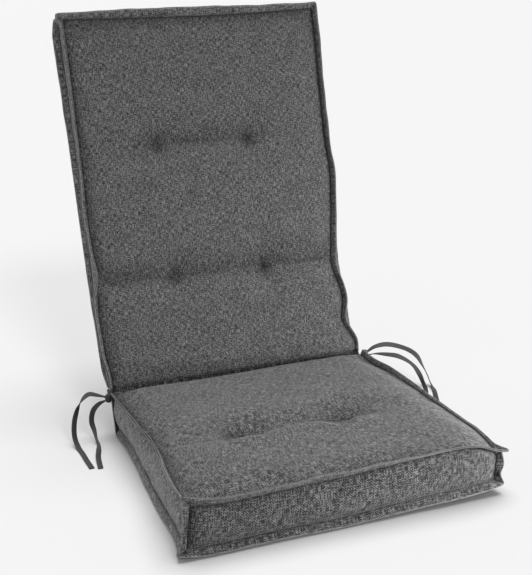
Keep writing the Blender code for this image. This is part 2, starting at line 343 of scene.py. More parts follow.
def cover_fabric(name, level):
    """Melange grey polyester: dark and light yarns both ways in a coarse twill, with slubs. It
    carries painted shade near its seams, tufts and creases, and is paler at its free edges, partly
    from wear and partly as a painted highlight."""
    nodes = Nodes(name)
    u, v = nodes.uv()
    warp = nodes.noise(u, v, 0.0017, 0.0110, detail=0.0)
    weft = nodes.noise(u, v, 0.0095, 0.0017, detail=0.0)
    fleck = nodes.noise(u, v, 0.0014, 0.0014, detail=0.0)
    slub = nodes.noise(u, v, 0.0030, 0.034)
    cloud = nodes.noise(u, v, 0.045, 0.045, detail=3.0)
    yarn = nodes.math("MULTIPLY_ADD", nodes.math("ADD", warp, weft), 0.90, -0.85)
    yarn = nodes.math("MULTIPLY_ADD", fleck, 0.90, yarn)
    diagonal = nodes.math("MULTIPLY", nodes.math("SUBTRACT", u, v), 2 * math.pi / TWILL_PERIOD)
    height = nodes.math("MULTIPLY_ADD", nodes.math("SINE", diagonal), 0.16, yarn)
    uneven = nodes.math("MULTIPLY_ADD", slub, 0.30, nodes.math("MULTIPLY_ADD", cloud, 0.22, -0.26))
    seam, edge = nodes.uv("edges")
    # painted highlight and wear: paler cloth near free edges; painted shade: darker cloth near seams,
    # tufts and creases
    worn_and_highlit = nodes.math("MULTIPLY", nodes.near(edge, EDGE_WEAR_AND_HIGHLIGHT_REACH), EDGE_WEAR_AND_HIGHLIGHT_TONE)
    painted_shade = nodes.math("MULTIPLY", nodes.near(seam, PAINTED_SEAM_SHADE_REACH), PAINTED_SEAM_SHADE_TONE)
    tone = nodes.math("ADD", nodes.math("ADD", height, uneven), nodes.math("ADD", worn_and_highlit, painted_shade))
    colour = nodes.ramp(
        tone,
        [(0.10, grey(level * 0.15)), (0.41, grey(level * 0.66)), (0.59, grey(level * 1.15)),
         (0.87, grey(level * 2.9))],
    )
    return nodes.finish(
        colour, height, 0.12, 0.0008, 0.92,
        Specular_IOR_Level=0.25, Sheen_Weight=0.12, Sheen_Roughness=0.5,
    )


def plain(name, colour, roughness, grain, bump=0.3):
    """A material with an even fine grain, for the pieces that have no weave."""
    nodes = Nodes(name)
    place = nodes.add("TexCoord").outputs["Object"]
    noise_node = nodes.add("TexNoise", {"Vector": place, "Scale": 1 / grain, "Detail": 3.0})
    shades = [(0.3, [c * 0.8 for c in colour]), (0.7, [min(1, c * 1.15) for c in colour])]
    return nodes.finish(
        nodes.ramp(noise_node.outputs["Fac"], shades), noise_node.outputs["Fac"], bump,
        grain * 0.3, roughness, Specular_IOR_Level=0.2,
    )


def woven_tape(name, level):
    """Dark narrow tape with fine ribs across it."""
    nodes = Nodes(name)
    u, v = nodes.uv()
    ribs = nodes.math("SINE", nodes.math("MULTIPLY", u, 2 * math.pi / RIB_PITCH))
    yarn = nodes.noise(u, v, 0.0012, 0.0009)
    height = nodes.math("MULTIPLY_ADD", ribs, 0.12, yarn)
    colour = nodes.ramp(height, [(0.25, grey(level * 0.55)), (0.75, grey(level * 1.6))])
    return nodes.finish(colour, height, 0.5, 0.0004, 0.85, Specular_IOR_Level=0.3)


TWILL_PERIOD = 0.0042
RIB_PITCH = 0.0011
EDGE_WEAR_AND_HIGHLIGHT_REACH = 0.0026  # the cloth is paler this far from a free edge, partly from wear and partly as a painted highlight
EDGE_WEAR_AND_HIGHLIGHT_TONE = 0.62
PAINTED_SEAM_SHADE_REACH = 0.0060  # and carries painted shade, darker, this far from a seam or tuft
PAINTED_SEAM_SHADE_TONE = -0.32
OPEN = 0.05  # a distance beyond both

COVER = cover_fabric("cover_fabric_looks", 0.0555)
TAPE = woven_tape("tape_looks", 0.036)
THREAD = plain("thread_looks", (0.060, 0.060, 0.062), 0.8, 0.0008)
FOAM = plain("foam_looks", (0.80, 0.76, 0.60), 0.9, 0.0022, bump=0.8)
FIBRE = plain("fibre_looks", (0.86, 0.86, 0.85), 1.0, 0.0045, bump=0.9)


# ---------------------------------------------------------------- the lie of the seams

@dataclass
class Rim:
    """Where the seam round one side of a section lies. The curves give x along v, v along x and
    heights along both."""

    left_x: object
    right_x: object
    end_v: object
    left_z: object
    right_z: object
    end_z: object
    hinge_z: object

    def grid(self, across, along, length):
        """x and v at shares across and along the panel, in two arrays."""
        share_x, share_v = np.meshgrid(across, along, indexing="ij")
        v = share_v * length
        for _ in range(3):
            x = self.left_x(v) * (1 - share_x) + self.right_x(v) * share_x
            v = share_v * self.end_v(x)
        return x, v

    def from_sides(self, x, v):
        """How far a point is from the nearer side seam."""
        return np.minimum(x - self.left_x(v), self.right_x(v) - x)

    def height(self, share_x, share_v, x, v):
        """The heights of the four edges carried over the whole panel."""
        side = (1 - share_x) * self.left_z(v) + share_x * self.right_z(v)
        end = (1 - share_v) * self.hinge_z(x) + share_v * self.end_z(x)
        corner = (
            (1 - share_x) * (1 - share_v) * self.left_z(0.0)
            + share_x * (1 - share_v) * self.right_z(0.0)
            + (1 - share_x) * share_v * self.left_z(1.0)
            + share_x * share_v * self.right_z(1.0)
        )
        return side + end - corner


@dataclass
class Section:
    """One boxed half of the cushion, named after its body."""

    name: str
    axes: np.ndarray  # rows: the directions of x, v and z
    weave: float  # how fine its cloth looks
    sides: dict  # what the face, the under side and the end boxing are called
    length: float
    face: Rim
    under: Rim
    plateau: float  # height of the padded face between its seams and tufts
    shoulders: tuple  # how far from the left, right and end seams it reaches that height
    base: float  # height of the underside between its seams
    rim: float  # how far in from its seams the underside turns flat
    bulge: float  # how far the boxing bulges out
    front_lip: float  # how much steeper a tuft's pit is on the side away from the hinge
    painted_tuft_shadow: float  # how much wider than a seam's painted shade a tuft's painted shade is
    painted_crease_shadow: float  # share of a seam's painted shade just above a valley's crease
    tufts: list  # (x, v, depth, spread) of each
    valleys: list  # (x from, x to, v, depth, width, fade at the ends)
    creases: list  # (x, v from, v to, depth, width)
    ridges: list  # (x from, x to, v, height, widths towards and away from the hinge, fade)

    def world(self, points):
        return np.asarray(points, float) @ self.axes + AXIS

    def from_tuft(self, tuft_x, tuft_v, x, v):
        """Distance from a tuft, counted longer on the side where its pit is steeper."""
        ahead = np.where(v > tuft_v, self.front_lip, 1) * (v - tuft_v)
        return np.hypot(x - tuft_x, ahead)


HINGE_STEP = 0.0016  # the panels stop this far from the hinge plane
WEB_DROP = 0.0045  # how far the face turns down into the sewn hinge line
WEB_WIDTH = 0.0046  # over this distance from it
CLOTH = 0.0011

FIT = 0.0005  # the fillings' clearance to the cover in the CAD
SEAT_LENGTH = local_box("seat_foam_core", SEAT_FRAME)[1][1] + FIT
BACK_LENGTH = local_box("back_foam_core", BACK_FRAME)[1][1] + FIT
SEAT_BASE = FLOOR - AXIS[2]
BACK_BASE = local_box("back_rear_panel", BACK_FRAME)[0][2]
TUFTS = {
    node: (low + high) / 2
    for node in frame["nodes"] if node.endswith("tuft_cord")
    for low, high in [local_box(node, SEAT_FRAME if node.startswith("seat") else BACK_FRAME)]
}


def tuft(node, depth, spread):
    return (TUFTS[node][0], TUFTS[node][1], depth, spread)


SEAT = Section(
    name="seat",
    axes=SEAT_FRAME,
    weave=1.0,
    sides={"face": "top", "under": "bottom", "end": "front", "hinge": "rear"},
    length=SEAT_LENGTH,
    face=Rim(
        left_x=curve(
            (0, -245.5), (30, -245), (100, -241.5), (165, -239), (265, -236), (380, -245),
            (440, -248.5), (485, -246.6),
        ),
        right_x=curve((0, 248), (50, 252.5), (140, 258.2), (285, 258.2), (400, 257.2), (485, 253)),
        end_v=level(485),
        left_z=curve((0, -11), (100, -10.5), (300, -9), (420, -8), (485, -5.4)),
        right_z=curve(
            (0, -5), (34, -11), (110, -10), (190, -9), (285, -8.5), (360, -8.3), (430, -9),
            (485, -18.2),
        ),
        end_z=curve(
            (-246.6, -5.4), (-209, -10.8), (-156, -11), (-105, -9.5), (-29, -8.5), (51, -5),
            (115, -2), (165, 0.5), (205, 0), (235, -9), (250.8, -19.2),
        ),
        hinge_z=curve(
            (-245.5, -11), (-215.3, -5.8), (-177.5, -1.8), (-80, -1.2), (215.2, -1.2), (248, -5),
        ),
    ),
    under=Rim(
        left_x=curve((0, -240), (94, -237), (200, -242), (316, -247), (430, -249), (485, -255)),
        right_x=curve((0, 248), (250, 250), (485, 249.2)),
        end_v=level(485),
        left_z=curve((0, -75), (200, -74), (430, -73.5), (485, -72.2)),
        right_z=curve((0, -75), (300, -72), (485, -63.9)),
        end_z=curve(
            (-255, -72.2), (-209, -73.9), (-156, -73.3), (-105, -72.5), (-29, -74), (51, -70.8),
            (135, -67.5), (205, -66.5), (249.2, -63.9),
        ),
        hinge_z=level(-75),
    ),
    plateau=0.0000,
    shoulders=(0.036, 0.030, 0.022),
    base=SEAT_BASE + 0.0002,
    rim=0.050,
    bulge=0.008,
    front_lip=2.6,
    painted_tuft_shadow=0.0030,
    painted_crease_shadow=0.0,
    tufts=[tuft("seat_left_tuft_cord", 0.040, 0.036), tuft("seat_right_tuft_cord", 0.040, 0.036)],
    valleys=[(-0.100, 0.090, TUFTS["seat_left_tuft_cord"][1] - 0.020, 0.0080, 0.024, 0.035)],
    creases=[],
    ridges=[
        (-0.098, 0.088, TUFTS["seat_left_tuft_cord"][1] + 0.009, 0.0100, (0.010, 0.036), 0.035)
    ],
)

BACK = Section(
    name="back",
    axes=BACK_FRAME,
    weave=1.4,
    sides={"face": "front", "under": "rear", "end": "top", "hinge": "bottom"},
    length=BACK_LENGTH,
    face=Rim(
        left_x=curve(
            (0, -244), (31, -245.6), (56, -250), (83, -251.5), (130, -252.9), (175, -249.9),
            (202, -245.8), (217, -244.5), (236, -246.5), (304, -249.7), (387, -247.9),
            (461, -247.5), (554, -246.5), (631, -246), (690, -246),
        ),
        right_x=curve(
            (0, 244), (23, 243.4), (49, 229.8), (66, 222.6), (85, 225.6), (105, 229.5),
            (135, 226.3), (162, 218.4), (174, 216.4), (206, 220), (255, 227.2), (303, 235),
            (343, 239.8), (429, 240.4), (523, 243), (603, 246.5), (690, 249),
        ),
        end_v=curve((-250, 684), (100, 682), (170, 684), (250, 687)),
        left_z=curve((0, -11), (50, -11.5), (690, -11.5)),
        right_z=curve((0, -11), (50, -11.5), (690, -11.5)),
        end_z=level(-11.5),
        hinge_z=curve((-244, -11), (-200, -5.5), (-150, -3), (150, -3), (200, -5), (244, -11)),
    ),
    under=Rim(
        left_x=curve((0, -246), (200, -248), (450, -247), (690, -249)),
        right_x=curve((0, 245), (100, 244), (170, 238), (250, 242), (450, 246), (690, 250)),
        end_v=level(685),
        left_z=level(-41.5),
        right_z=level(-41.5),
        end_z=level(-41.5),
        hinge_z=level(-41.5),
    ),
    plateau=-0.0020,
    shoulders=(0.030, 0.028, 0.032),
    base=BACK_BASE + 0.0002,
    rim=0.050,
    bulge=0.0035,
    front_lip=1.0,
    painted_tuft_shadow=0.0012,
    painted_crease_shadow=0.38,
    tufts=[
        tuft("back_lower_left_tuft_cord", 0.013, 0.034),
        tuft("back_lower_right_tuft_cord", 0.014, 0.034),
        tuft("back_upper_left_tuft_cord", 0.012, 0.032),
        tuft("back_upper_right_tuft_cord", 0.012, 0.032),
    ],
    valleys=[
        (-0.26, 0.26, TUFTS["back_lower_left_tuft_cord"][1], 0.0095, 0.012, 0.02),
        (-0.12, 0.09, TUFTS["back_upper_left_tuft_cord"][1], 0.0055, 0.012, 0.05),
    ],
    creases=[
        (TUFTS["back_lower_right_tuft_cord"][0], 0.193, 0.265, 0.0042, 0.008),
        (TUFTS["back_upper_right_tuft_cord"][0], 0.400, 0.470, 0.0024, 0.008),
        (TUFTS["back_upper_left_tuft_cord"][0], 0.442, 0.470, 0.0016, 0.008),
    ],
    ridges=[
        (-0.17, 0.20, TUFTS["back_lower_left_tuft_cord"][1] - 0.018, 0.0045, (0.030, 0.012), 0.03),
        (-0.10, 0.08, TUFTS["back_upper_left_tuft_cord"][1] - 0.015, 0.0020, (0.026, 0.011), 0.04),
    ],
)


# ---------------------------------------------------------------- the padded body

CELL = 0.0063  # size of the simulated cloth's cells
BOXING_CELL = 0.0070
CORNER_REACH = 0.016  # the boxing bulges fully this far from its corners
HINGE_START = 0.004  # the padding's rise at the hinge starts this far behind it
HINGE_SHOULDER = 0.010  # and takes this far
WEB_FADE = 0.03  # how far from the side seams these reach their full depth
VALLEY_FADE = 0.012
RIDGE_FADE = 0.02
CREASE_FADE = 0.02  # and how far past its ends a crease runs out
TUFT_THROAT = 0.34  # a tuft's steep middle, as a share of its spread
PAINTED_TUFT_SHADE_SHARE = 0.30  # a tuft's painted shade darkens the cloth further out than a seam's, by this share
LEAST_ROOM = 0.06  # share of the swelling at a seam
ROOM_REACH = 0.040  # and the distance over which it grows
PAINTED_CREASE_SHADE_REACH = 0.045  # the cloth above a valley carries painted shade for this far
PIN_REACH = 0.0065  # points this close to a tuft are held by its cord


def face_height(section, x, v, share_x, share_v):
    """The padded face: up from its seams to a plateau, down at tufts, valleys and creases."""
    rim = section.face
    edge = rim.height(share_x, share_v, x, v)
    from_side = rim.from_sides(x, v)
    left, right, end = section.shoulders
    pad = ease(x - rim.left_x(v), left) * ease(rim.right_x(v) - x, right)
    pad = pad * ease(rim.end_v(x) - v, end)
    pad *= ease(v + HINGE_START, HINGE_SHOULDER)
    z = edge * (1 - pad) + section.plateau * pad
    z -= WEB_DROP * bell(v, WEB_WIDTH) * ease(from_side, WEB_FADE)
    for start, stop, row, depth, width, fade in section.valleys:
        along = bell(beyond(x, start, stop), fade)
        z -= depth * along * bell(v - row, width) * ease(from_side, VALLEY_FADE)
    for start, stop, row, height, width, fade in section.ridges:
        along = bell(beyond(x, start, stop), fade)
        wide = np.where(v < row, width[0], width[1])
        z += height * along * bell(v - row, wide) * ease(from_side, RIDGE_FADE)
    for place, start, stop, depth, width in section.creases:
        along = bell(beyond(v, start, stop), CREASE_FADE)
        z -= depth * along * np.exp(-np.abs((x - place) / width) ** 1.5)
    for tuft_x, tuft_v, depth, spread in section.tufts:
        away = section.from_tuft(tuft_x, tuft_v, x, v)
        steep = np.exp(-away / (spread * TUFT_THROAT))
        z -= depth * (0.60 * steep + 0.40 * bell(away, spread))
    return z


def under_height(section, x, v, share_x, share_v):
    """The underside: up at its seams, flat inside."""
    rim = section.under
    edge = rim.height(share_x, share_v, x, v)
    from_seam = np.minimum(rim.from_sides(x, v), np.minimum(rim.end_v(x) - v, v + 0.01))
    share = np.clip(from_seam / section.rim, 0, 1)
    share = np.sqrt(np.clip(1 - (1 - share) ** 2, 0, 1))  # a quarter circle
    return edge * (1 - share) + section.base * share


class Body:
    """A section's closed cover on one grid: the face, the underside and the boxing between."""

    def __init__(self, section):
        self.section = section
        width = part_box("seat_foam_core")[1].x * 2
        self.nx = round(width / CELL)
        self.nv = round(section.length / CELL)
        across = np.linspace(0, 1, self.nx + 1)
        along = np.linspace(0, 1, self.nv + 1)
        share_x, share_v = np.meshgrid(across, along, indexing="ij")
        sheets = []
        for rim, height in ((section.face, face_height), (section.under, under_height)):
            x, v = rim.grid(across, along, section.length)
            z = height(section, x, v, share_x, share_v)
            sheets.append(np.stack((x, HINGE_STEP + v * (1 - HINGE_STEP / section.length), z), -1))
        face, under = sheets
        # The seam's stations: up the left side, along the end, down the right, and the hinge.
        nx, nv = self.nx, self.nv
        self.ring = (
            [(0, j) for j in range(nv)]
            + [(i, nv) for i in range(nx)]
            + [(nx, j) for j in range(nv, 0, -1)]
            + [(i, 0) for i in range(nx, 0, -1)]
        )
        self.corners = {"left": nv, "right": nv + nx, "hinge_right": 2 * nv + nx}
        high = np.array([face[key] for key in self.ring])
        low = np.array([under[key] for key in self.ring])
        self.nb = max(4, round(np.linalg.norm(high - low, axis=1).mean() / BOXING_CELL))
        outward = self.outward()
        soft = self.softness()
        rows = []
        for r in range(1, self.nb):
            share = r / self.nb
            row = high * (1 - share) + low * share
            row += outward * (section.bulge * math.sin(math.pi * share) ** 0.7 * soft)[:, None]
            rows.append(row)
        count = (nx + 1) * (nv + 1)
        self.points = np.concatenate([face.reshape(-1, 3), under.reshape(-1, 3), *rows])
        self.count = count
        ring_face = [i * (nv + 1) + j for i, j in self.ring]
        self.boxing_index = np.array(
            [ring_face]
            + [[2 * count + r * len(self.ring) + k for k in range(len(self.ring))]
               for r in range(self.nb - 1)]
            + [[count + index for index in ring_face]]
        )

    def outward(self):
        """The direction away from the padding at each station, in the section's plane."""
        nx, nv = self.nx, self.nv
        sides = (
            [(-1, 0, 0)] * nv + [(0, 1, 0)] * nx + [(1, 0, 0)] * nv + [(0, -1, 0)] * nx
        )
        return np.array(sides, float)

    def softness(self):
        """How freely the boxing bulges: not at its corners, and not at the hinge."""
        total = len(self.ring)
        free = np.zeros(total)
        stops = [0, self.corners["left"], self.corners["right"], self.corners["hinge_right"]]
        for start, stop in zip(stops, stops[1:]):
            k = np.arange(start, stop)
            free[k] = np.minimum(1, np.minimum(k - start, stop - k) * CELL / CORNER_REACH)
        return free

    def faces(self):
        nx, nv = self.nx, self.nv
        faces = grid_faces(nx + 1, nv + 1)
        faces += grid_faces(nx + 1, nv + 1, self.count, flip=True)
        total = len(self.ring)
        for r in range(self.nb):
            for k in range(total):
                n = (k + 1) % total
                a, b = self.boxing_index[r][k], self.boxing_index[r][n]
                c, d = self.boxing_index[r + 1][n], self.boxing_index[r + 1][k]
                faces.append((a, b, c, d))
        return faces

    def held(self):
        """The points that don't move: seams, underside, the hinge boxing and the tufts."""
        held = np.zeros(len(self.points), bool)
        held[self.count : 2 * self.count] = True
        held[self.boxing_index[0]] = True
        held[self.boxing_index[-1]] = True
        held[self.boxing_index[:, self.corners["hinge_right"] :]] = True
        for key in ("left", "right", "hinge_right"):
            held[self.boxing_index[:, self.corners[key]]] = True
        held[self.boxing_index[:, 0]] = True
        face = self.points[: self.count]
        for x, v, _, _ in self.section.tufts:
            away = np.hypot(face[:, 0] - x, face[:, 1] - v)
            held[: self.count] |= away < PIN_REACH
            held[np.argmin(away)] = True
        return held

    def room(self):
        """Each point's share of the swelling: little beside the face's seams and in valleys."""
        rim = self.section.face
        x, v = self.points[: self.count, 0], self.points[: self.count, 1]
        from_seam = np.minimum(rim.from_sides(x, v), rim.end_v(x) - v)
        share = np.ones(len(self.points))
        share[: self.count] = LEAST_ROOM + (1 - LEAST_ROOM) * ease(from_seam, ROOM_REACH)
        for start, stop, row, _, width, fade in self.section.valleys:
            along = bell(beyond(x, start, stop), fade)
            share[: self.count] *= 1 - 0.9 * along * bell(v - row, 1.5 * width)
        return share

    def from_seams(self):
        """How far each of the face's points is from the nearest seam, for its painted shade: tufts
        and creases are counted as seams that darken the cloth more widely or less."""
        rim = self.section.face
        face = self.face()
        x, v = face[..., 0], face[..., 1]
        near = np.minimum(rim.from_sides(x, v), rim.end_v(x) - v)
        near = np.minimum(near, v + 0.0015)
        for tuft_x, tuft_v, _, _ in self.section.tufts:
            away = self.section.from_tuft(tuft_x, tuft_v, x, v)
            near = np.minimum(near, away * PAINTED_TUFT_SHADE_SHARE - self.section.painted_tuft_shadow)
        for start, stop, row, _, _, fade in self.section.valleys:
            outside = beyond(x, start, stop) / fade
            shade = np.clip(1 - (v - row) / PAINTED_CREASE_SHADE_REACH - outside, 0, 1) * (v > row - 0.002)
            near = np.minimum(near, PAINTED_SEAM_SHADE_REACH * (1 - self.section.painted_crease_shadow * shade))
        return np.maximum(near, 0)

    def face(self):
        return self.points[: self.count].reshape(self.nx + 1, self.nv + 1, 3)

    def under(self):
        return self.points[self.count : 2 * self.count].reshape(self.nx + 1, self.nv + 1, 3)


FRAMES = 22
PRESSURE = 3.2
EXTRA_CLOTH = 0.012  # the cover is cut this much larger than the space between its seams
MOST_SWELL = 0.0065  # how far the simulation may move a point


def blow_up(body):
    """Runs the cloth simulation on the closed cover and keeps where it brings the points."""
    section = body.section
    start = section.world(body.points)
    cloth_object = mesh_object(section.name + "_trial", start, body.faces(), COVER)
    faces_out(cloth_object)
    group = cloth_object.vertex_groups.new(name="held")
    group.add([int(k) for k in np.nonzero(body.held())[0]], 1.0, "REPLACE")
    modifier = cloth_object.modifiers.new("cloth", "CLOTH")
    settings = modifier.settings
    settings.quality = 6
    settings.mass = 0.35
    settings.tension_stiffness = settings.compression_stiffness = 12
    settings.shear_stiffness = 6
    settings.bending_stiffness = 0.6
    settings.use_pressure = True
    settings.uniform_pressure_force = PRESSURE
    settings.vertex_group_mass = "held"
    settings.pin_stiffness = 1
    settings.shrink_min = -EXTRA_CLOTH
    settings.effector_weights.gravity = 0
    modifier.collision_settings.use_collision = False
    modifier.point_cache.frame_start = 1
    modifier.point_cache.frame_end = FRAMES
    for step in range(1, FRAMES + 1):
        bpy.context.scene.frame_set(step)
    evaluated = cloth_object.evaluated_get(bpy.context.evaluated_depsgraph_get())
    moved = np.array([vert.co for vert in evaluated.data.vertices])
    bpy.data.objects.remove(cloth_object)
    bpy.context.scene.frame_set(1)
    step = (moved - start) @ section.axes.T
    size = np.linalg.norm(step, axis=1, keepdims=True)
    most = MOST_SWELL * body.room()[:, None]
    body.points = body.points + step * np.minimum(1, most / np.maximum(size, 1e-9))


def faces_out(made):
    """Turns the faces of a closed mesh outwards."""
    work = bmesh.new()
    work.from_mesh(made.data)
    bmesh.ops.recalc_face_normals(work, faces=work.faces)
    if work.calc_volume(signed=True) < 0:
        bmesh.ops.reverse_faces(work, faces=work.faces)
    work.to_mesh(made.data)
    work.free()
    made.data.shade_smooth()


# ---------------------------------------------------------------- panels

def turn_out(made, middle):
    """Flips an open sheet's faces if most of them look towards the middle."""
    mesh = made.data
    outward = 0.0
    for face in mesh.polygons:
        outward += face.area * face.normal.dot(face.center - middle)
    if outward < 0:
        mesh.flip_normals()
        mesh.shade_smooth()


SEAM_HEIGHT = -0.0110  # a local height, about that of the face's seams


def flatten(piece, section, height=SEAM_HEIGHT):
    """Gives a padded piece its own copy of its mesh."""
    anchor = section.world((0, section.length / 2, height))
    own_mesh(piece)


def sheet_piece(section, name, grid, uvs, middle, nodes):
    """One panel of cover cloth over a grid of points, smoothed and given its thickness."""
    rows, columns = grid.shape[:2]
    made = mesh_object(
        name, section.world(grid.reshape(-1, 3)), grid_faces(rows, columns), COVER,
        uvs.reshape(-1, 4),
    )
    turn_out(made, Vector(middle))
    subdivide(made)
    thicken(made, CLOTH, -1)
    return dress(made, section.name, "cover_fabric", *nodes)


BOXING_V = 0.7  # where on the cloth the boxing strips were cut
CRUMPLE = 0.0006


def crumpled(grid):
    """A face with the small unevenness of its cloth along z, and its edge left alone."""
    moved = grid.copy()
    uneven = ripple(grid[..., :2], 0.055, 3) + 0.45 * ripple(grid[..., :2], 0.021, 4)
    moved[1:-1, 1:-1, 2] += CRUMPLE * uneven[1:-1, 1:-1]
    return moved


def make_panels(body):
    section = body.section
    nx, nv = body.nx, body.nv
    middle = section.world(body.points.mean(0))
    cell = CELL * section.weave
    u, v = np.meshgrid(np.arange(nx + 1) * cell, np.arange(nv + 1) * cell, indexing="ij")
    face_uvs = np.stack((u, v, body.from_seams(), u * 0 + OPEN), -1)
    under_uvs = np.stack((u, v, u * 0 + OPEN, u * 0 + OPEN), -1)
    node = f"{section.name}_{section.sides['face']}_panel"
    face = crumpled(body.face())
    cloth = sheet_piece(section, node + "_cloth", face, face_uvs, middle, [node])
    flatten(cloth, section)
    node = f"{section.name}_{section.sides['under']}_panel"
    sheet_piece(section, node + "_cloth", body.under(), under_uvs, middle, [node])
    spans = {
        "left": (0, body.corners["left"]),
        section.sides["end"]: (body.corners["left"], body.corners["right"]),
        "right": (body.corners["right"], body.corners["hinge_right"]),
        section.sides["hinge"]: (body.corners["hinge_right"], len(body.ring)),
    }
    down = body.points[body.boxing_index[0]] - body.points[body.boxing_index[-1]]
    pitch = np.linalg.norm(down, axis=1).mean() / body.nb
    for side, (start, stop) in spans.items():
        columns = [k % len(body.ring) for k in range(start, stop + 1)]
        grid = body.points[body.boxing_index[:, columns]]
        r, k = np.meshgrid(np.arange(body.nb + 1), np.arange(start, stop + 1), indexing="ij")
        # distances from the boxing's seams and corners, which set its painted shade along them
        from_corner = np.minimum(k - start, stop - k) * CELL
        from_seam = np.minimum(np.minimum(r, body.nb - r) * pitch, from_corner)
        weave = (k * cell, BOXING_V + r * pitch * section.weave)
        uvs = np.stack((*weave, from_seam, k * 0 + OPEN), -1)
        node = f"{section.name}_{side}_boxing"
        sheet_piece(section, node + "_cloth", grid, uvs, middle, [node])


# ---------------------------------------------------------------- seam flanges

LAYER = 0.0010  # thickness of one margin
LAYER_SHIFT = 0.2  # how far apart along the weave the two layers were cut
FLANGE_ROWS = 5
MARGIN_V = 2.0  # where on the cloth the margins were cut
MARGIN_SEAM = 0.0010  # painted shade: a margin's root is as dark as cloth this far from a seam
UPRIGHT_SPLAY = 0.8  # in millimetres
CORNER_TURN = 0.011  # a margin takes its corner's direction within about this distance


@dataclass
class Margin:
    """How the margins stand along one seam, by the distance along it from the hinge's left."""

    out: object  # run outwards
    rise: object  # run away from the cushion's middle plane
    splay: object  # how far the two layers' edges stand apart
    corners: dict  # the vector from seam to tip at each free corner
    sway: float  # how much the angle wavers, in radians
    seed: int


def slab(top, bottom):
    """A closed sheet between two grids of points: its points and faces."""
    rows, columns = top.shape[:2]
    size = rows * columns
    faces = grid_faces(rows, columns) + grid_faces(rows, columns, size, flip=True)
    edge = (
        [(i, 0) for i in range(rows - 1)]
        + [(rows - 1, j) for j in range(columns - 1)]
        + [(i, columns - 1) for i in range(rows - 1, 0, -1)]
        + [(0, j) for j in range(columns - 1, 0, -1)]
    )
    for (i, j), (k, m) in zip(edge, edge[1:] + edge[:1]):
        a, b = i * columns + j, k * columns + m
        faces.append((b, a, a + size, b + size))
    return np.concatenate((top.reshape(-1, 3), bottom.reshape(-1, 3))), faces


def joined(parts):
    """Several (points, faces, uvs) as one."""
    points, faces, uvs, start = [], [], [], 0
    for part_points, part_faces, part_uvs in parts:
        points.append(part_points)
        uvs.append(part_uvs)
        faces += [tuple(start + index for index in face) for face in part_faces]
        start += len(part_points)
    return np.concatenate(points), faces, np.concatenate(uvs)


def margin_normal(seam, tips, inward):
    """The direction through a margin's two layers. inward points to the panel's side."""
    normal = unit(np.cross(unit(np.gradient(seam, axis=0)), tips))
    return normal * np.sign((normal * inward).sum(1, keepdims=True))


def margin_layers(seam, tips, inward, margin, places):
    """Two layers of cloth from a seam to its tips."""
    normal = margin_normal(seam, tips, inward)
    size = np.linalg.norm(tips, axis=1, keepdims=True)
    waver = ripple(places[:, None], 0.045, margin.seed)[:, None] * margin.sway
    waver += ripple(places[:, None], 0.016, margin.seed + 5)[:, None] * margin.sway * 0.4
    tips = tips + normal * size * waver
    share = np.linspace(0, 1, FLANGE_ROWS + 1)[None, :, None]
    centre = seam[:, None] + tips[:, None] * share
    curl = 0.08 * size * ripple(places[:, None], 0.07, margin.seed + 9)[:, None]
    centre = centre + normal[:, None] * (curl[:, None] * share**2)
    parts = []
    splay = margin.splay(places) * (1 + 0.6 * ripple(places[:, None], 0.05, margin.seed + 3))
    splay = np.maximum(0.0002, splay)[:, None, None]
    share_out = share[..., 0]
    uvs = np.stack(
        np.broadcast_arrays(
            places[:, None], MARGIN_V + share_out * size, MARGIN_SEAM + share_out * size * 1.6,
            (1 - share_out) * size,
        ), -1
    ).reshape(-1, 4)
    for side in (1, -1):
        offset = 0.00015 + LAYER / 2 + splay * share**2 / 2
        middle = centre + side * normal[:, None] * offset
        half = side * normal[:, None] * LAYER / 2
        points, faces = slab(middle + half, middle - half)
        shifted = uvs + np.array((LAYER_SHIFT * side, 0, 0, 0))
        parts.append((points, faces, np.concatenate((shifted, shifted))))
    return parts


def seam_run(body, row, margin, up):
    """The seam's points round the three free sides, the vectors from them to the margin's tips,
    the direction of the panel, and how far along they are."""
    last = body.corners["hinge_right"]
    stations = np.arange(last + 1)
    places = stations * CELL
    outward = body.outward()[stations]
    outward[last] = (1, 0, 0)
    tips = outward * margin.out(places)[:, None]
    tips[:, 2] = up * margin.rise(places)
    for corner, vector in margin.corners.items():
        away = np.abs(stations - body.corners[corner]) * CELL
        weight = bell(away, CORNER_TURN)[:, None]
        tips = tips * (1 - weight) + np.array(vector) * weight
    seam = body.points[body.boxing_index[row][stations]]
    return seam, tips, np.array((0, 0, up)) - outward, places


def flange(section, name, seam, tips, inward, margin, places):
    """The margins along one seam, as a piece."""
    points, faces, uvs = joined(margin_layers(seam, tips, inward, margin, places))
    made = mesh_object(name, section.world(points), faces, COVER, uvs)
    faces_out(made)
    subdivide(made)
    return dress(made, section.name, "cover_fabric")


def corner_flange(body, name, column, vectors, seed):
    """The upright margins at a corner. vectors lead from the seam to the edge, going down."""
    section = body.section
    seam = body.points[body.boxing_index[:, column]]
    at = np.linspace(0, len(seam) - 1, 19)
    seam = np.stack([np.interp(at, np.arange(len(seam)), seam[:, k]) for k in range(3)], -1)
    share = np.linspace(0, 1, len(seam))
    keys = np.array(vectors, float)
    at = np.linspace(0, 1, len(keys))
    tips = np.stack([curve_through(*zip(at, keys[:, k]))(share) for k in range(3)], -1)
    margin = Margin(None, None, level(UPRIGHT_SPLAY), corners={}, sway=0.10, seed=seed)
    places = share * np.linalg.norm(seam[0] - seam[-1])
    inward = np.cross((0, 0, 1), tips * (1, 1, 0))
    flange(section, name, seam, tips, inward, margin, places)


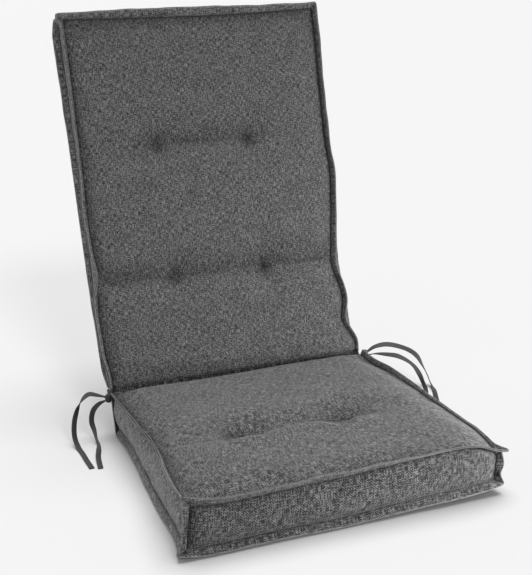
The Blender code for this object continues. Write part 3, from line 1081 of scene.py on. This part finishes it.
# The upright margins at the free corners, from the face's seam to the under seam.
CORNERS = {
    "seat": {
        "left": ((-0.0140, 0.0075, 0.0165), (-0.0105, 0.0030, 0.0015), (-0.0095, 0.0022, 0),
                 (-0.0105, 0.0030, 0), (-0.0168, 0.0075, -0.0052)),
        "right": ((0.0060, 0.0070, 0.0030), (0.0110, 0.0060, 0), (0.0122, 0.0056, 0),
                  (0.0060, 0.0085, -0.0010), (0.0155, 0.0080, -0.0070)),
    },
    "back": {
        "left": ((-0.0130, 0.0090, 0.0060), (-0.0090, 0.0080, 0), (-0.0090, 0.0085, -0.0040)),
        "right": ((0.0085, 0.0100, 0.0065), (0.0080, 0.0080, 0), (0.0090, 0.0085, -0.0040)),
    },
}


FACE_MARGIN = {
    "seat": Margin(
        out=curve(
            (0, 6.5), (60, 7.2), (300, 7.5), (460, 7.8), (520, 8.5), (740, 8.8), (860, 10.5),
            (940, 11), (1000, 7.8), (1040, 7.2), (1200, 7.2), (1300, 6.4), (1380, 5.2), (1470, 4.5),
        ),
        rise=curve(
            (0, 8), (60, 9.5), (300, 10), (460, 11), (520, 11.8), (740, 11.5), (820, 9), (900, 6.2),
            (940, 6), (980, 3), (1010, 2), (1050, 1), (1200, 2), (1300, 6.5), (1380, 11),
            (1470, 10),
        ),
        splay=curve(
            (0, 0.8), (50, 1.5), (300, 1.7), (420, 0.8), (500, 0.6), (860, 0.6), (930, 1.8),
            (1020, 0.8), (1470, 0.6),
        ),
        corners={"left": (-0.0150, 0.0085, 0.0200), "right": (0.0215, 0.0090, 0.0020)},
        sway=0.12,
        seed=11,
    ),
    "back": Margin(
        out=curve(
            (0, 6.2), (25, 7), (50, 7.5), (170, 7), (205, 2), (235, 6), (300, 8.5), (390, 7),
            (460, 7), (600, 6.6), (660, 8), (700, 9.2), (1150, 9.2), (1220, 6), (1300, 4.5),
            (1450, 4.5), (1620, 6.5), (1700, 7.5), (1780, 7), (1830, 6), (1880, 5),
        ),
        rise=curve(
            (0, 3), (25, 8), (50, 9.5), (170, 10), (205, 10.5), (235, 10), (450, 9.5), (690, 9),
            (720, 11), (1150, 11.5), (1220, 12), (1600, 11.5), (1750, 9.5), (1830, 8), (1880, 3),
        ),
        splay=curve((0, 1.2), (500, 0.8), (1200, 0.6), (1880, 1)),
        corners={"left": (-0.0150, 0.0100, 0.0080), "right": (0.0085, 0.0110, 0.0080)},
        sway=0.10,
        seed=31,
    ),
}
UNDER_MARGIN = {
    "seat": Margin(
        out=curve((0, 8), (400, 9.2), (740, 9.5), (1470, 8)),
        rise=curve(
            (0, 12.4), (400, 12.8), (600, 11.2), (740, 12), (900, 13.5), (1000, 11.5), (1470, 12.4),
        ),
        splay=level(0.8),
        corners={"left": (-0.0173, 0.0080, -0.0064), "right": (0.0165, 0.0080, -0.0086)},
        sway=0.03,
        seed=51,
    ),
    "back": Margin(
        out=curve((0, 1), (30, 7), (60, 7.5), (1820, 7.5), (1850, 7), (1880, 1)),
        rise=curve((0, 2), (30, 4.8), (60, 5), (1820, 5), (1850, 4.8), (1880, 2)),
        splay=level(0.8),
        corners={"left": (-0.0090, 0.0085, -0.0050), "right": (0.0090, 0.0085, -0.0050)},
        sway=0.10,
        seed=71,
    ),
}


HINGE_CORNER_OUT = {"seat": 0.0080, "back": 0.0030}  # reach of the upright margins at the hinge
HINGE_LEAN = 0.0008  # they lean away from it by this at their ends and twice this between


def make_flanges(body):
    section = body.section
    above, below = FACE_MARGIN[section.name], UNDER_MARGIN[section.name]
    seam, tips, inward, places = seam_run(body, 0, above, 1)
    name = f"{section.name}_face_flange"
    flatten(flange(section, name, seam, tips, inward, above, places), section)
    seam, tips, inward, places = seam_run(body, -1, below, -1)
    flange(section, f"{section.name}_under_flange", seam, tips, inward, below, places)
    end, hinge = section.sides["end"], section.sides["hinge"]
    for side, sign, seed in (("left", -1, 5), ("right", 1, 7)):
        vectors = CORNERS[section.name][side]
        corner_flange(body, f"{section.name}_{end}_{side}_flange", body.corners[side], vectors, seed)
        column = 0 if side == "left" else body.corners["hinge_right"]
        place = column * CELL
        vectors = (
            (sign * above.out(place), HINGE_LEAN, above.rise(place)),
            (sign * HINGE_CORNER_OUT[section.name], 2 * HINGE_LEAN, 0),
            (sign * below.out(place), HINGE_LEAN, -below.rise(place)),
        )
        corner_flange(body, f"{section.name}_{hinge}_{side}_flange", column, vectors, seed + 2)


# ---------------------------------------------------------------- stitches and tufts

STITCH_PITCH = 0.0036
STITCH_LENGTH = 0.0026
STITCH_THICK = 0.0007
STITCH_LINE = 0.24  # the sewing line's place, as a share of the margin's width
STITCH_LIFT = 0.0003


def walk(path, step):
    """Points and directions at even steps along a path of points."""
    path = np.asarray(path, float)
    lengths = np.concatenate(([0], np.cumsum(np.linalg.norm(np.diff(path, axis=0), axis=1))))
    at = np.linspace(0, lengths[-1], max(2, round(lengths[-1] / step) + 1))
    places = np.stack([np.interp(at, lengths, path[:, k]) for k in range(3)], -1)
    return places, unit(np.gradient(places, axis=0)), at


def tube(path, radii, sides=6):
    """A closed round tube along a path, with its ends drawn in to points."""
    path = np.asarray(path, float)
    radii = np.broadcast_to(radii, len(path)).astype(float)
    along = unit(np.gradient(path, axis=0))
    side = carried(along, perpendicular(along[0]))
    other = np.cross(along, side)
    angles = np.arange(sides) * 2 * math.pi / sides
    rings = path[:, None] + radii[:, None, None] * (
        side[:, None] * np.cos(angles)[None, :, None] + other[:, None] * np.sin(angles)[None, :, None]
    )
    first = path[0] - along[0] * radii[0] * 0.7
    last = path[-1] + along[-1] * radii[-1] * 0.7
    points = np.concatenate((rings.reshape(-1, 3), [first, last]))
    count = len(path)
    faces = ring_faces(count, sides)
    for j in range(sides):
        k = (j + 1) % sides
        faces.append((count * sides, k, j))
        faces.append((count * sides + 1, (count - 1) * sides + j, (count - 1) * sides + k))
    return points, faces, np.zeros((len(points), 2))


def perpendicular(direction):
    guide = np.array((0, 0, 1.0)) if abs(direction[2]) < 0.9 else np.array((1.0, 0, 0))
    return unit(np.cross(direction, guide))


def carried(along, start):
    """A sideways direction carried along a path without twisting."""
    sides = [unit(start - along[0] * np.dot(start, along[0]))]
    for direction in along[1:]:
        side = sides[-1] - direction * np.dot(sides[-1], direction)
        sides.append(unit(side))
    return np.array(sides)


def stitch_row(line, normal, offset):
    """Short stitches lying along a line on a flange, half sunk in its cloth."""
    places, along, at = walk(line, STITCH_PITCH)
    steps = np.linspace(0, 1, len(normal))
    share = at / at[-1]
    lift = np.stack([np.interp(share, steps, normal[:, k]) for k in range(3)], -1) * offset
    parts = []
    for place, direction, up in zip(places + lift, along, lift):
        half = direction * STITCH_LENGTH / 2
        sink = unit(up) * STITCH_THICK * 0.35
        run = [place - half - sink, place - half * 0.5, place + half * 0.5, place + half - sink]
        parts.append(tube(run, STITCH_THICK / 2, sides=5))
    return parts


STRAND_RADIUS = 0.00055
STEM_RADIUS = 0.0008
STEM_TURN = 0.0007  # how far the stem's two strands wind about its middle
STEM_TWIST = 0.006  # length of the stem's half turn
STEM_END = 0.0040  # the stem ends this far above the underside
TUFT_WIDTH = 0.007
TUFT_HEIGHT = 0.011


def tuft_stitches(section, name, floor):
    """A tuft's cord: a twisted stem through the pad and the strands stitched over its pit."""
    x, v, z = floor
    bottom = section.base + STEM_END
    turns = np.linspace(0, 1, 26)
    bend = np.linspace(-1, 1, 9)
    tuck = 0.0022 * np.abs(bend) ** 6
    strands = []
    for k in range(5):
        wave = 0.0006 * np.sin(bend * 2.5 + k)
        height = z + 0.0012 + 0.0012 * (1 - bend**2) - tuck
        strands.append((x + (k - 2) * 0.0009 + wave, v + bend * TUFT_HEIGHT / 2, height))
    for k in range(3):
        height = z + 0.0022 + 0.0010 * (1 - bend**2) - tuck
        strands.append((x + bend * TUFT_WIDTH / 2, v + (k - 1) * 0.0010 + 0 * bend, height))
    parts = []
    for phase in (0, math.pi):
        angle = phase + turns * (z - bottom) / STEM_TWIST * math.pi
        stem = (
            x + STEM_TURN * np.cos(angle),
            v + STEM_TURN * np.sin(angle),
            bottom + (z - bottom) * turns,
        )
        parts.append(tube(np.stack(stem, -1), STEM_RADIUS))
    for strand in strands:
        parts.append(tube(np.stack(strand, -1), STRAND_RADIUS))
    points, faces, uvs = joined(parts)
    made = mesh_object(name + "_strands", section.world(points), faces, THREAD, uvs)
    faces_out(made)
    dress(made, section.name, "thread", name)
    flatten(made, section)


def make_tufts(body):
    face = body.face().reshape(-1, 3)
    names = [node for node in TUFTS if node.startswith(body.section.name)]
    for node in names:
        x, v = TUFTS[node][:2]
        nearest = face[np.argmin(np.hypot(face[:, 0] - x, face[:, 1] - v))]
        tuft_stitches(body.section, node, (x, v, nearest[2]))


def make_stitches(body):
    """The sewing lines just outside the face's and the under side's seams, on both sides."""
    section = body.section
    rows = ((0, FACE_MARGIN, 1, "face"), (-1, UNDER_MARGIN, -1, "under"))
    for row, margins, up, label in rows:
        seam, tips, inward, _ = seam_run(body, row, margins[section.name], up)
        normal = margin_normal(seam, tips, inward)
        line = seam + tips * STITCH_LINE
        parts = stitch_row(line, normal, LAYER + STITCH_LIFT)
        parts += stitch_row(line, -normal, LAYER + STITCH_LIFT)
        points, faces, uvs = joined(parts)
        made = mesh_object(
            f"{section.name}_{label}_stitches", section.world(points), faces, THREAD, uvs
        )
        faces_out(made)
        dress(made, section.name, "thread")
        if label == "face":
            flatten(made, section)


# ---------------------------------------------------------------- filling

COVER_GAP = 0.0016  # from the cover's outside to the wadding
LEAST_FILLING = 0.0052  # height above the underside that the filling keeps under the tufts
WADDING_INSET = 0.0045  # from the boxing
CORE_INSET = 0.0055


def filling(body, node, top, bottom, material, slot, inset):
    """One layer of the filling. top and bottom each give (distance below the face, None) or
    (None, height above the underside)."""
    section = body.section
    face, under = body.face(), body.under()
    # The layer stays inside whichever of the two outlines is the smaller.
    inner = np.minimum(np.abs(face[..., :2]), np.abs(under[..., :2])) * np.sign(under[..., :2])
    centre = inner.reshape(-1, 2).mean(0)
    half = np.abs(inner.reshape(-1, 2) - centre).max(0)
    across = centre + (inner - centre) * (1 - inset / half)

    lowest = face[..., 2]
    for _ in range(2):
        wide = np.pad(lowest, 1, mode="edge")
        lowest = np.min([wide[i : i + lowest.shape[0], j : j + lowest.shape[1]]
                         for i in range(3) for j in range(3)], axis=0)
    floor = under[..., 2]

    def height(rule):
        from_face, from_under = rule
        if from_face is not None:
            return np.maximum(lowest - from_face, floor + LEAST_FILLING)
        return floor + from_under

    surfaces = [
        np.concatenate((across, height(rule)[..., None]), -1) for rule in (top, bottom)
    ]
    points, faces = slab(*surfaces)
    made = mesh_object(node + "_filling", section.world(points), faces, material, points[:, :2])
    faces_out(made)
    return dress(made, section.name, slot, node)


def make_filling(body):
    name, sides = body.section.name, body.section.sides
    upper = filling(
        body, f"{name}_{sides['face']}_wadding", (COVER_GAP, None), (COVER_GAP + 0.0020, None),
        FIBRE, "fibre_wadding", WADDING_INSET,
    )
    core = filling(
        body, f"{name}_foam_core", (COVER_GAP + 0.0024, None), (None, COVER_GAP + 0.0022),
        FOAM, "foam", CORE_INSET,
    )
    lower = filling(
        body, f"{name}_{sides['under']}_wadding", (None, COVER_GAP + 0.0018), (None, COVER_GAP),
        FIBRE, "fibre_wadding", WADDING_INSET,
    )
    flatten(upper, body.section)
    flatten(core, body.section, body.section.base)


# ---------------------------------------------------------------- the sewn hinge line

WEB_ROWS = 8
END_DROP = 0.012  # how far the web closes the ends of the gap below the hinge line
END_OUT = 0.0095
TAPE_REACH = 0.225  # the hinge tape's half length
TAPE_RADIUS = 0.0105
TAPE_GAP = 0.0007  # from the hinge plane to the middle of the tape


def polar(points):
    """Radius and angle about the hinge axis, seen along +x, of world points."""
    offset = np.asarray(points) - AXIS
    return np.hypot(offset[..., 1], offset[..., 2]), np.arctan2(offset[..., 2], offset[..., 1])


def with_ends(section, row):
    """A hinge edge in world space, run on at both ends down the corners of the boxing."""
    down = -section.axes[2] * END_DROP
    out = np.array((END_OUT, 0, 0))
    row = section.world(row)
    left = [row[0] - out * share**0.4 + down * share for share in (1, 0.66, 0.33)]
    right = [row[-1] + out * share**0.4 + down * share for share in (0.33, 0.66, 1)]
    return np.concatenate((left, row, right))


def make_hinge_web(seat, back):
    """The strip of cover that joins the face panels, drawn down into the sewn line."""
    near = with_ends(seat.section, seat.face()[:, 0])
    far = with_ends(back.section, back.face()[:, 0])
    near_radius, near_angle = polar(near)
    far_radius, far_angle = polar(far)
    rows = []
    for share in np.linspace(0, 1, WEB_ROWS):
        radius = near_radius * (1 - share) + far_radius * share
        radius += 0.0012 * math.sin(math.pi * share)
        angle = near_angle * (1 - share) + far_angle * share
        x = near[:, 0] * (1 - share) + far[:, 0] * share
        rows.append(np.stack((x, radius * np.cos(angle), radius * np.sin(angle)), -1))
    grid = np.stack(rows) + np.array((0, AXIS[1], AXIS[2]))
    u, v = np.meshgrid(near[:, 0], np.arange(WEB_ROWS) * 0.0012, indexing="xy")
    # the web counts as 1.5 mm from a seam all over, so it carries painted shade: a dark sewn line
    made = mesh_object("hinge_web", grid.reshape(-1, 3), grid_faces(*grid.shape[:2]), COVER,
                       np.stack((u, v, u * 0 + 0.0015, u * 0 + OPEN), -1).reshape(-1, 4))
    turn_out(made, Vector(AXIS + np.array((0, 0.05, -0.05))))
    subdivide(made)
    thicken(made, CLOTH, -1)
    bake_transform(made)


def make_hinge_tape():
    """A U of tape behind the web, sewn to both hinge boxings."""
    leaf_low = local_box("seat_hinge_tape_leaf", SEAT_FRAME)[0]
    far_low = local_box("back_hinge_tape_leaf", BACK_FRAME)[0]
    profile = []
    for z in np.linspace(leaf_low[2], -TAPE_RADIUS, 6):
        profile.append(SEAT.world((0, TAPE_GAP, z)) - AXIS)
    start = math.atan2(profile[-1][2], profile[-1][1])
    end_point = BACK.world((0, TAPE_GAP, -TAPE_RADIUS)) - AXIS
    end = math.atan2(end_point[2], end_point[1])
    radius = np.linalg.norm(end_point)
    for angle in np.linspace(start, end, 12)[1:-1]:
        profile.append(np.array((0, radius * math.cos(angle), radius * math.sin(angle))))
    for z in np.linspace(-TAPE_RADIUS, far_low[2], 6):
        profile.append(BACK.world((0, TAPE_GAP, z)) - AXIS)
    profile = np.array(profile)
    across = np.linspace(-TAPE_REACH, TAPE_REACH, 60)
    run = np.concatenate(([0], np.cumsum(np.linalg.norm(np.diff(profile, axis=0), axis=1))))
    grid = profile[:, None] + np.array((1, 0, 0)) * across[None, :, None] + AXIS
    u, v = np.meshgrid(across, run, indexing="xy")
    made = mesh_object("hinge_tape", grid.reshape(-1, 3), grid_faces(*grid.shape[:2]), TAPE,
                       np.stack((u, v), -1).reshape(-1, 2))
    thicken(made, 0.0009, 0)
    faces_out(made)
    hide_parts("seat_hinge_tape_leaf", "back_hinge_tape_leaf")
    first, last = SEAT.world((0, 0, -TAPE_RADIUS)), BACK.world((0, 0, -TAPE_RADIUS))
    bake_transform(made)


# ---------------------------------------------------------------- ties

TIE_WIDTH = 0.0094
TIE_THICK = 0.0019
TIE_STEP = 0.0022
TIE_LYING = 1.2  # height in millimetres of a tie's middle where it lies on the floor

# The ties' routes repeat the CAD's, from the tab outwards, in millimetres: x, y from the hinge
# line, and z where a tie is off the floor.
TIES = {
    "left_tie_outer": (
        (-263, -3, 79), (-276.8, -3, 84.5), (-290.9, -3, 88.5), (-302.4, -3, 81.7),
        (-311.5, -4, 69.5), (-320.5, -8, 49), (-325, -14, 28), (-325, -21, 12.5),
        (-322.5, -37, 2.5), (-320.5, -60), (-319.5, -92), (-317.5, -127),
    ),
    "left_tie_inner": (
        (-263, -3, 71.5), (-275.5, -3, 66.5), (-286.5, -4, 55.5), (-291.2, -8, 38),
        (-288.5, -14, 21.5), (-287.5, -22, 9), (-287.8, -38, 2.5), (-292, -60), (-298.5, -89),
        (-304, -133),
    ),
    "right_tie_outer": (
        (263, -3, 87), (276, -3, 93.5), (293, -3, 96), (310, -2, 94), (332.9, 0, 86),
        (356.5, 0, 74.2), (372.7, -2, 60), (382.5, -6, 40.8), (390, -12, 22.2), (392, -20, 9.5),
        (390, -36, 2.5), (384, -54), (367.7, -90), (356, -118), (345, -146), (335, -172),
    ),
    "right_tie_inner": (
        (263, -3, 79.5), (282.4, -2, 79), (308.9, 0, 72.5), (329, 0, 66.5), (349.2, -1, 54.9),
        (364.5, -4, 41), (374.5, -9, 23.6), (378, -17, 9), (375.5, -31, 2.5), (369, -46),
        (357, -70), (345, -96), (335, -122), (326, -149),
    ),
}
# Where each tie turns over on its way: (share of its length, half turns) keys.
TURNS = {
    "left_tie_outer": ((0, 0.5), (0.15, 0.3), (0.30, 0.9), (0.55, 1.0), (1, 1.0)),
    "left_tie_inner": ((0, 0.5), (0.20, 0.0), (0.45, 0.4), (0.62, 0.0), (1, 0.0)),
    "right_tie_outer": ((0, 0.5), (0.12, 0.9), (0.30, 1.1), (0.48, 0.6), (0.65, 1.0), (1, 1.0)),
    "right_tie_inner": ((0, 0.5), (0.18, 0.1), (0.35, -0.2), (0.52, 0.3), (0.68, 0.0), (1, 0)),
}


def smooth_route(points, step):
    """A smooth curve through given points, read at even steps (Catmull-Rom)."""
    points = [np.array(point, float) for point in points]
    points = [2 * points[0] - points[1], *points, 2 * points[-1] - points[-2]]
    fine = []
    for a, b, c, d in zip(points, points[1:], points[2:], points[3:]):
        for t in np.linspace(0, 1, 16, endpoint=False):
            fine.append(
                0.5 * (2 * b + (c - a) * t + (2 * a - 5 * b + 4 * c - d) * t**2
                       + (3 * b - a - 3 * c + d) * t**3)
            )
    fine.append(points[-2])
    return walk(fine, step)


def ribbon(route, along, angles):
    """A flat tape's rounded section swept along a route; it lies level at the far end."""
    level = unit(np.cross(along[-1], (0, 0, 1)))
    side = carried(along[::-1], level)[::-1]
    other = np.cross(along, side)
    turn = angles[:, None] * math.pi
    wide = side * np.cos(turn) + other * np.sin(turn)
    thick = other * np.cos(turn) - side * np.sin(turn)
    round_it = np.arange(14) * 2 * math.pi / 14
    a = np.sign(np.cos(round_it)) * np.abs(np.cos(round_it)) ** 0.55 * TIE_WIDTH / 2
    b = np.sign(np.sin(round_it)) * np.abs(np.sin(round_it)) ** 0.75 * TIE_THICK / 2
    rings = route[:, None] + wide[:, None] * a[None, :, None] + thick[:, None] * b[None, :, None]
    return rings, np.concatenate((a[:1] * 0, np.cumsum(np.hypot(np.diff(a), np.diff(b)))))


def make_tie(name):
    """A tie's tape: it lies where the CAD's tie lies."""
    points = [(x, y, *(height or [TIE_LYING])) for x, y, *height in TIES[name]]
    points = np.array(points) / 1000 + np.array((0, AXIS[1], 0))
    route, along, at = smooth_route(points, TIE_STEP)
    angles = curve_through(*TURNS[name])(at / at[-1])
    rings, around = ribbon(route, along, angles)
    painted_shade = np.maximum(0, FLOOR - rings[..., 2].min(1))
    rings[..., 2] += painted_shade[:, None]
    route[:, 2] += painted_shade
    count, sides = rings.shape[:2]
    faces = ring_faces(count, sides)
    faces.append(tuple(range(sides)))
    faces.append(tuple((count - 1) * sides + j for j in range(sides))[::-1])
    uvs = np.stack(np.broadcast_arrays(at[:, None], around[None, :]), -1).reshape(-1, 2)
    made = mesh_object(name + "_tape", rings.reshape(-1, 3), faces, TAPE, uvs)
    faces_out(made)
    made.data.set_sharp_from_angle(angle=math.radians(60))
    dress(made, "seat", "tape", name)


TAB_ROOT = 0.007  # how far a tab's root goes in between the margins


def make_tab(name):
    """The folded tape that holds a pair of ties, closed by bars of thread."""
    low, high = np.array(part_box(name))
    if low[0] + high[0] < 0:
        high[0] += TAB_ROOT
    else:
        low[0] -= TAB_ROOT
    middle, half = (low + high) / 2, (high - low) / 2 * (1, 1, 1.12)
    rows, columns = 12, 16
    grid = []
    for i in range(rows + 1):
        height = math.cos(math.pi * i / rows)
        reach = math.sin(math.pi * i / rows) ** 0.35
        for j in range(columns):
            angle = 2 * math.pi * j / columns
            x = np.sign(math.cos(angle)) * abs(math.cos(angle)) ** 0.5 * half[0] * reach
            y = np.sign(math.sin(angle)) * abs(math.sin(angle)) ** 0.4 * half[1] * reach
            grid.append(middle + np.array((x, y, height * half[2])))
    grid = np.array(grid)
    faces = ring_faces(rows + 1, columns)
    made = mesh_object(name + "_tape", grid, faces, TAPE, grid[:, [1, 2]])
    faces_out(made)
    subdivide(made)
    dress(made, "seat", "tape", name)
    bars = []
    outside = middle[0] + math.copysign(half[0] + 0.0001, middle[0])
    for z in np.linspace(-0.6, 0.6, 7) * half[2]:
        sweep = np.linspace(-0.75, 0.75, 7)
        bars.append(tube(
            [(outside, middle[1] + s * half[1], middle[2] + z + 0.0004 * s) for s in sweep], 0.0004
        ))
    points, faces, uvs = joined(bars)
    bar = mesh_object(name + "_bars", points, faces, THREAD, uvs)
    faces_out(bar)
    dress(bar, "seat", "thread")


# ---------------------------------------------------------------- the making

for tie in TIES:
    make_tie(tie)
for tab in ("left_tie_tab", "right_tie_tab"):
    make_tab(tab)

seat, back = Body(SEAT), Body(BACK)
for body in (seat, back):
    blow_up(body)
    make_panels(body)
    make_flanges(body)
    make_stitches(body)
    make_tufts(body)
    make_filling(body)
make_hinge_web(seat, back)
make_hinge_tape()


# ---------------------------------------------------------------- floor and light

FLOOR_RINGS = ((8, 0), (30, 0.35), (80, 2.6))  # radius and height
FLOOR_GAP = 0.0003  # below the cushion
FLOOR_WHITE = 0.622


def make_floor():
    """A round floor whose far rim rises a little, so that the view ends on it."""
    sides = 48
    points = []
    for radius, height in FLOOR_RINGS:
        for k in range(sides):
            angle = 2 * math.pi * k / sides
            points.append((radius * math.cos(angle), radius * math.sin(angle), height))
    points = [(x, y, z + FLOOR - FLOOR_GAP) for x, y, z in points]
    faces = [tuple(range(sides))]
    for ring in (0, sides):
        for k in range(sides):
            n = (k + 1) % sides
            faces.append((ring + k, ring + sides + k, ring + sides + n, ring + n))
    nodes = Nodes("floor_looks")
    white = nodes.finish((*[FLOOR_WHITE] * 3, 1), None, 0, 0, 1.0, Specular_IOR_Level=0.0)
    floor = mesh_object("floor", points, faces, white, smooth=False)
    return floor


def sun(name, energy, spread, towards):
    data = bpy.data.lights.new(name, "SUN")
    data.energy = energy
    data.angle = math.radians(spread)
    light = bpy.data.objects.new(name, data)
    light.rotation_euler = Vector(towards).to_track_quat("Z", "Y").to_euler()
    bpy.context.collection.objects.link(light)
    return light


def softbox(name, energy, size, place):
    """A square light that faces the middle of the cushion."""
    data = bpy.data.lights.new(name, "AREA")
    data.energy = energy
    data.size = size
    light = bpy.data.objects.new(name, data)
    light.location = place
    away = Vector(place) - Vector((0.05, 0.05, 0.10))
    light.rotation_euler = away.to_track_quat("Z", "Y").to_euler()
    bpy.context.collection.objects.link(light)
    return light


def light_only(light, target, state):
    """Lets a light shine on the target alone, or on everything but the target."""
    group = bpy.data.collections.new(light.name + "_targets")
    group.objects.link(target)
    group.collection_objects[0].light_linking.link_state = state
    light.light_linking.receiver_collection = group


def make_light(floor):
    world = bpy.data.worlds.new("studio")
    bpy.context.scene.world = world
    world.use_nodes = True
    background = world.node_tree.nodes["Background"]
    background.inputs["Color"].default_value = (1, 1, 1, 1)
    background.inputs["Strength"].default_value = 0.30
    sun("overhead", 3.25, 50, (0.16, 0.15, 0.95))
    backdrop = sun("backdrop", 1.05, 14, (0.05, -0.84, 0.52))
    light_only(backdrop, floor, "INCLUDE")
    light_only(softbox("right", 27, 0.5, (0.88, -0.74, 0.17)), floor, "EXCLUDE")
    light_only(softbox("left", 17, 0.8, (-1.50, 0.10, 0.40)), floor, "EXCLUDE")
    view = bpy.context.scene.view_settings
    view.view_transform = "Standard"
    view.look = "None"


make_light(make_floor())
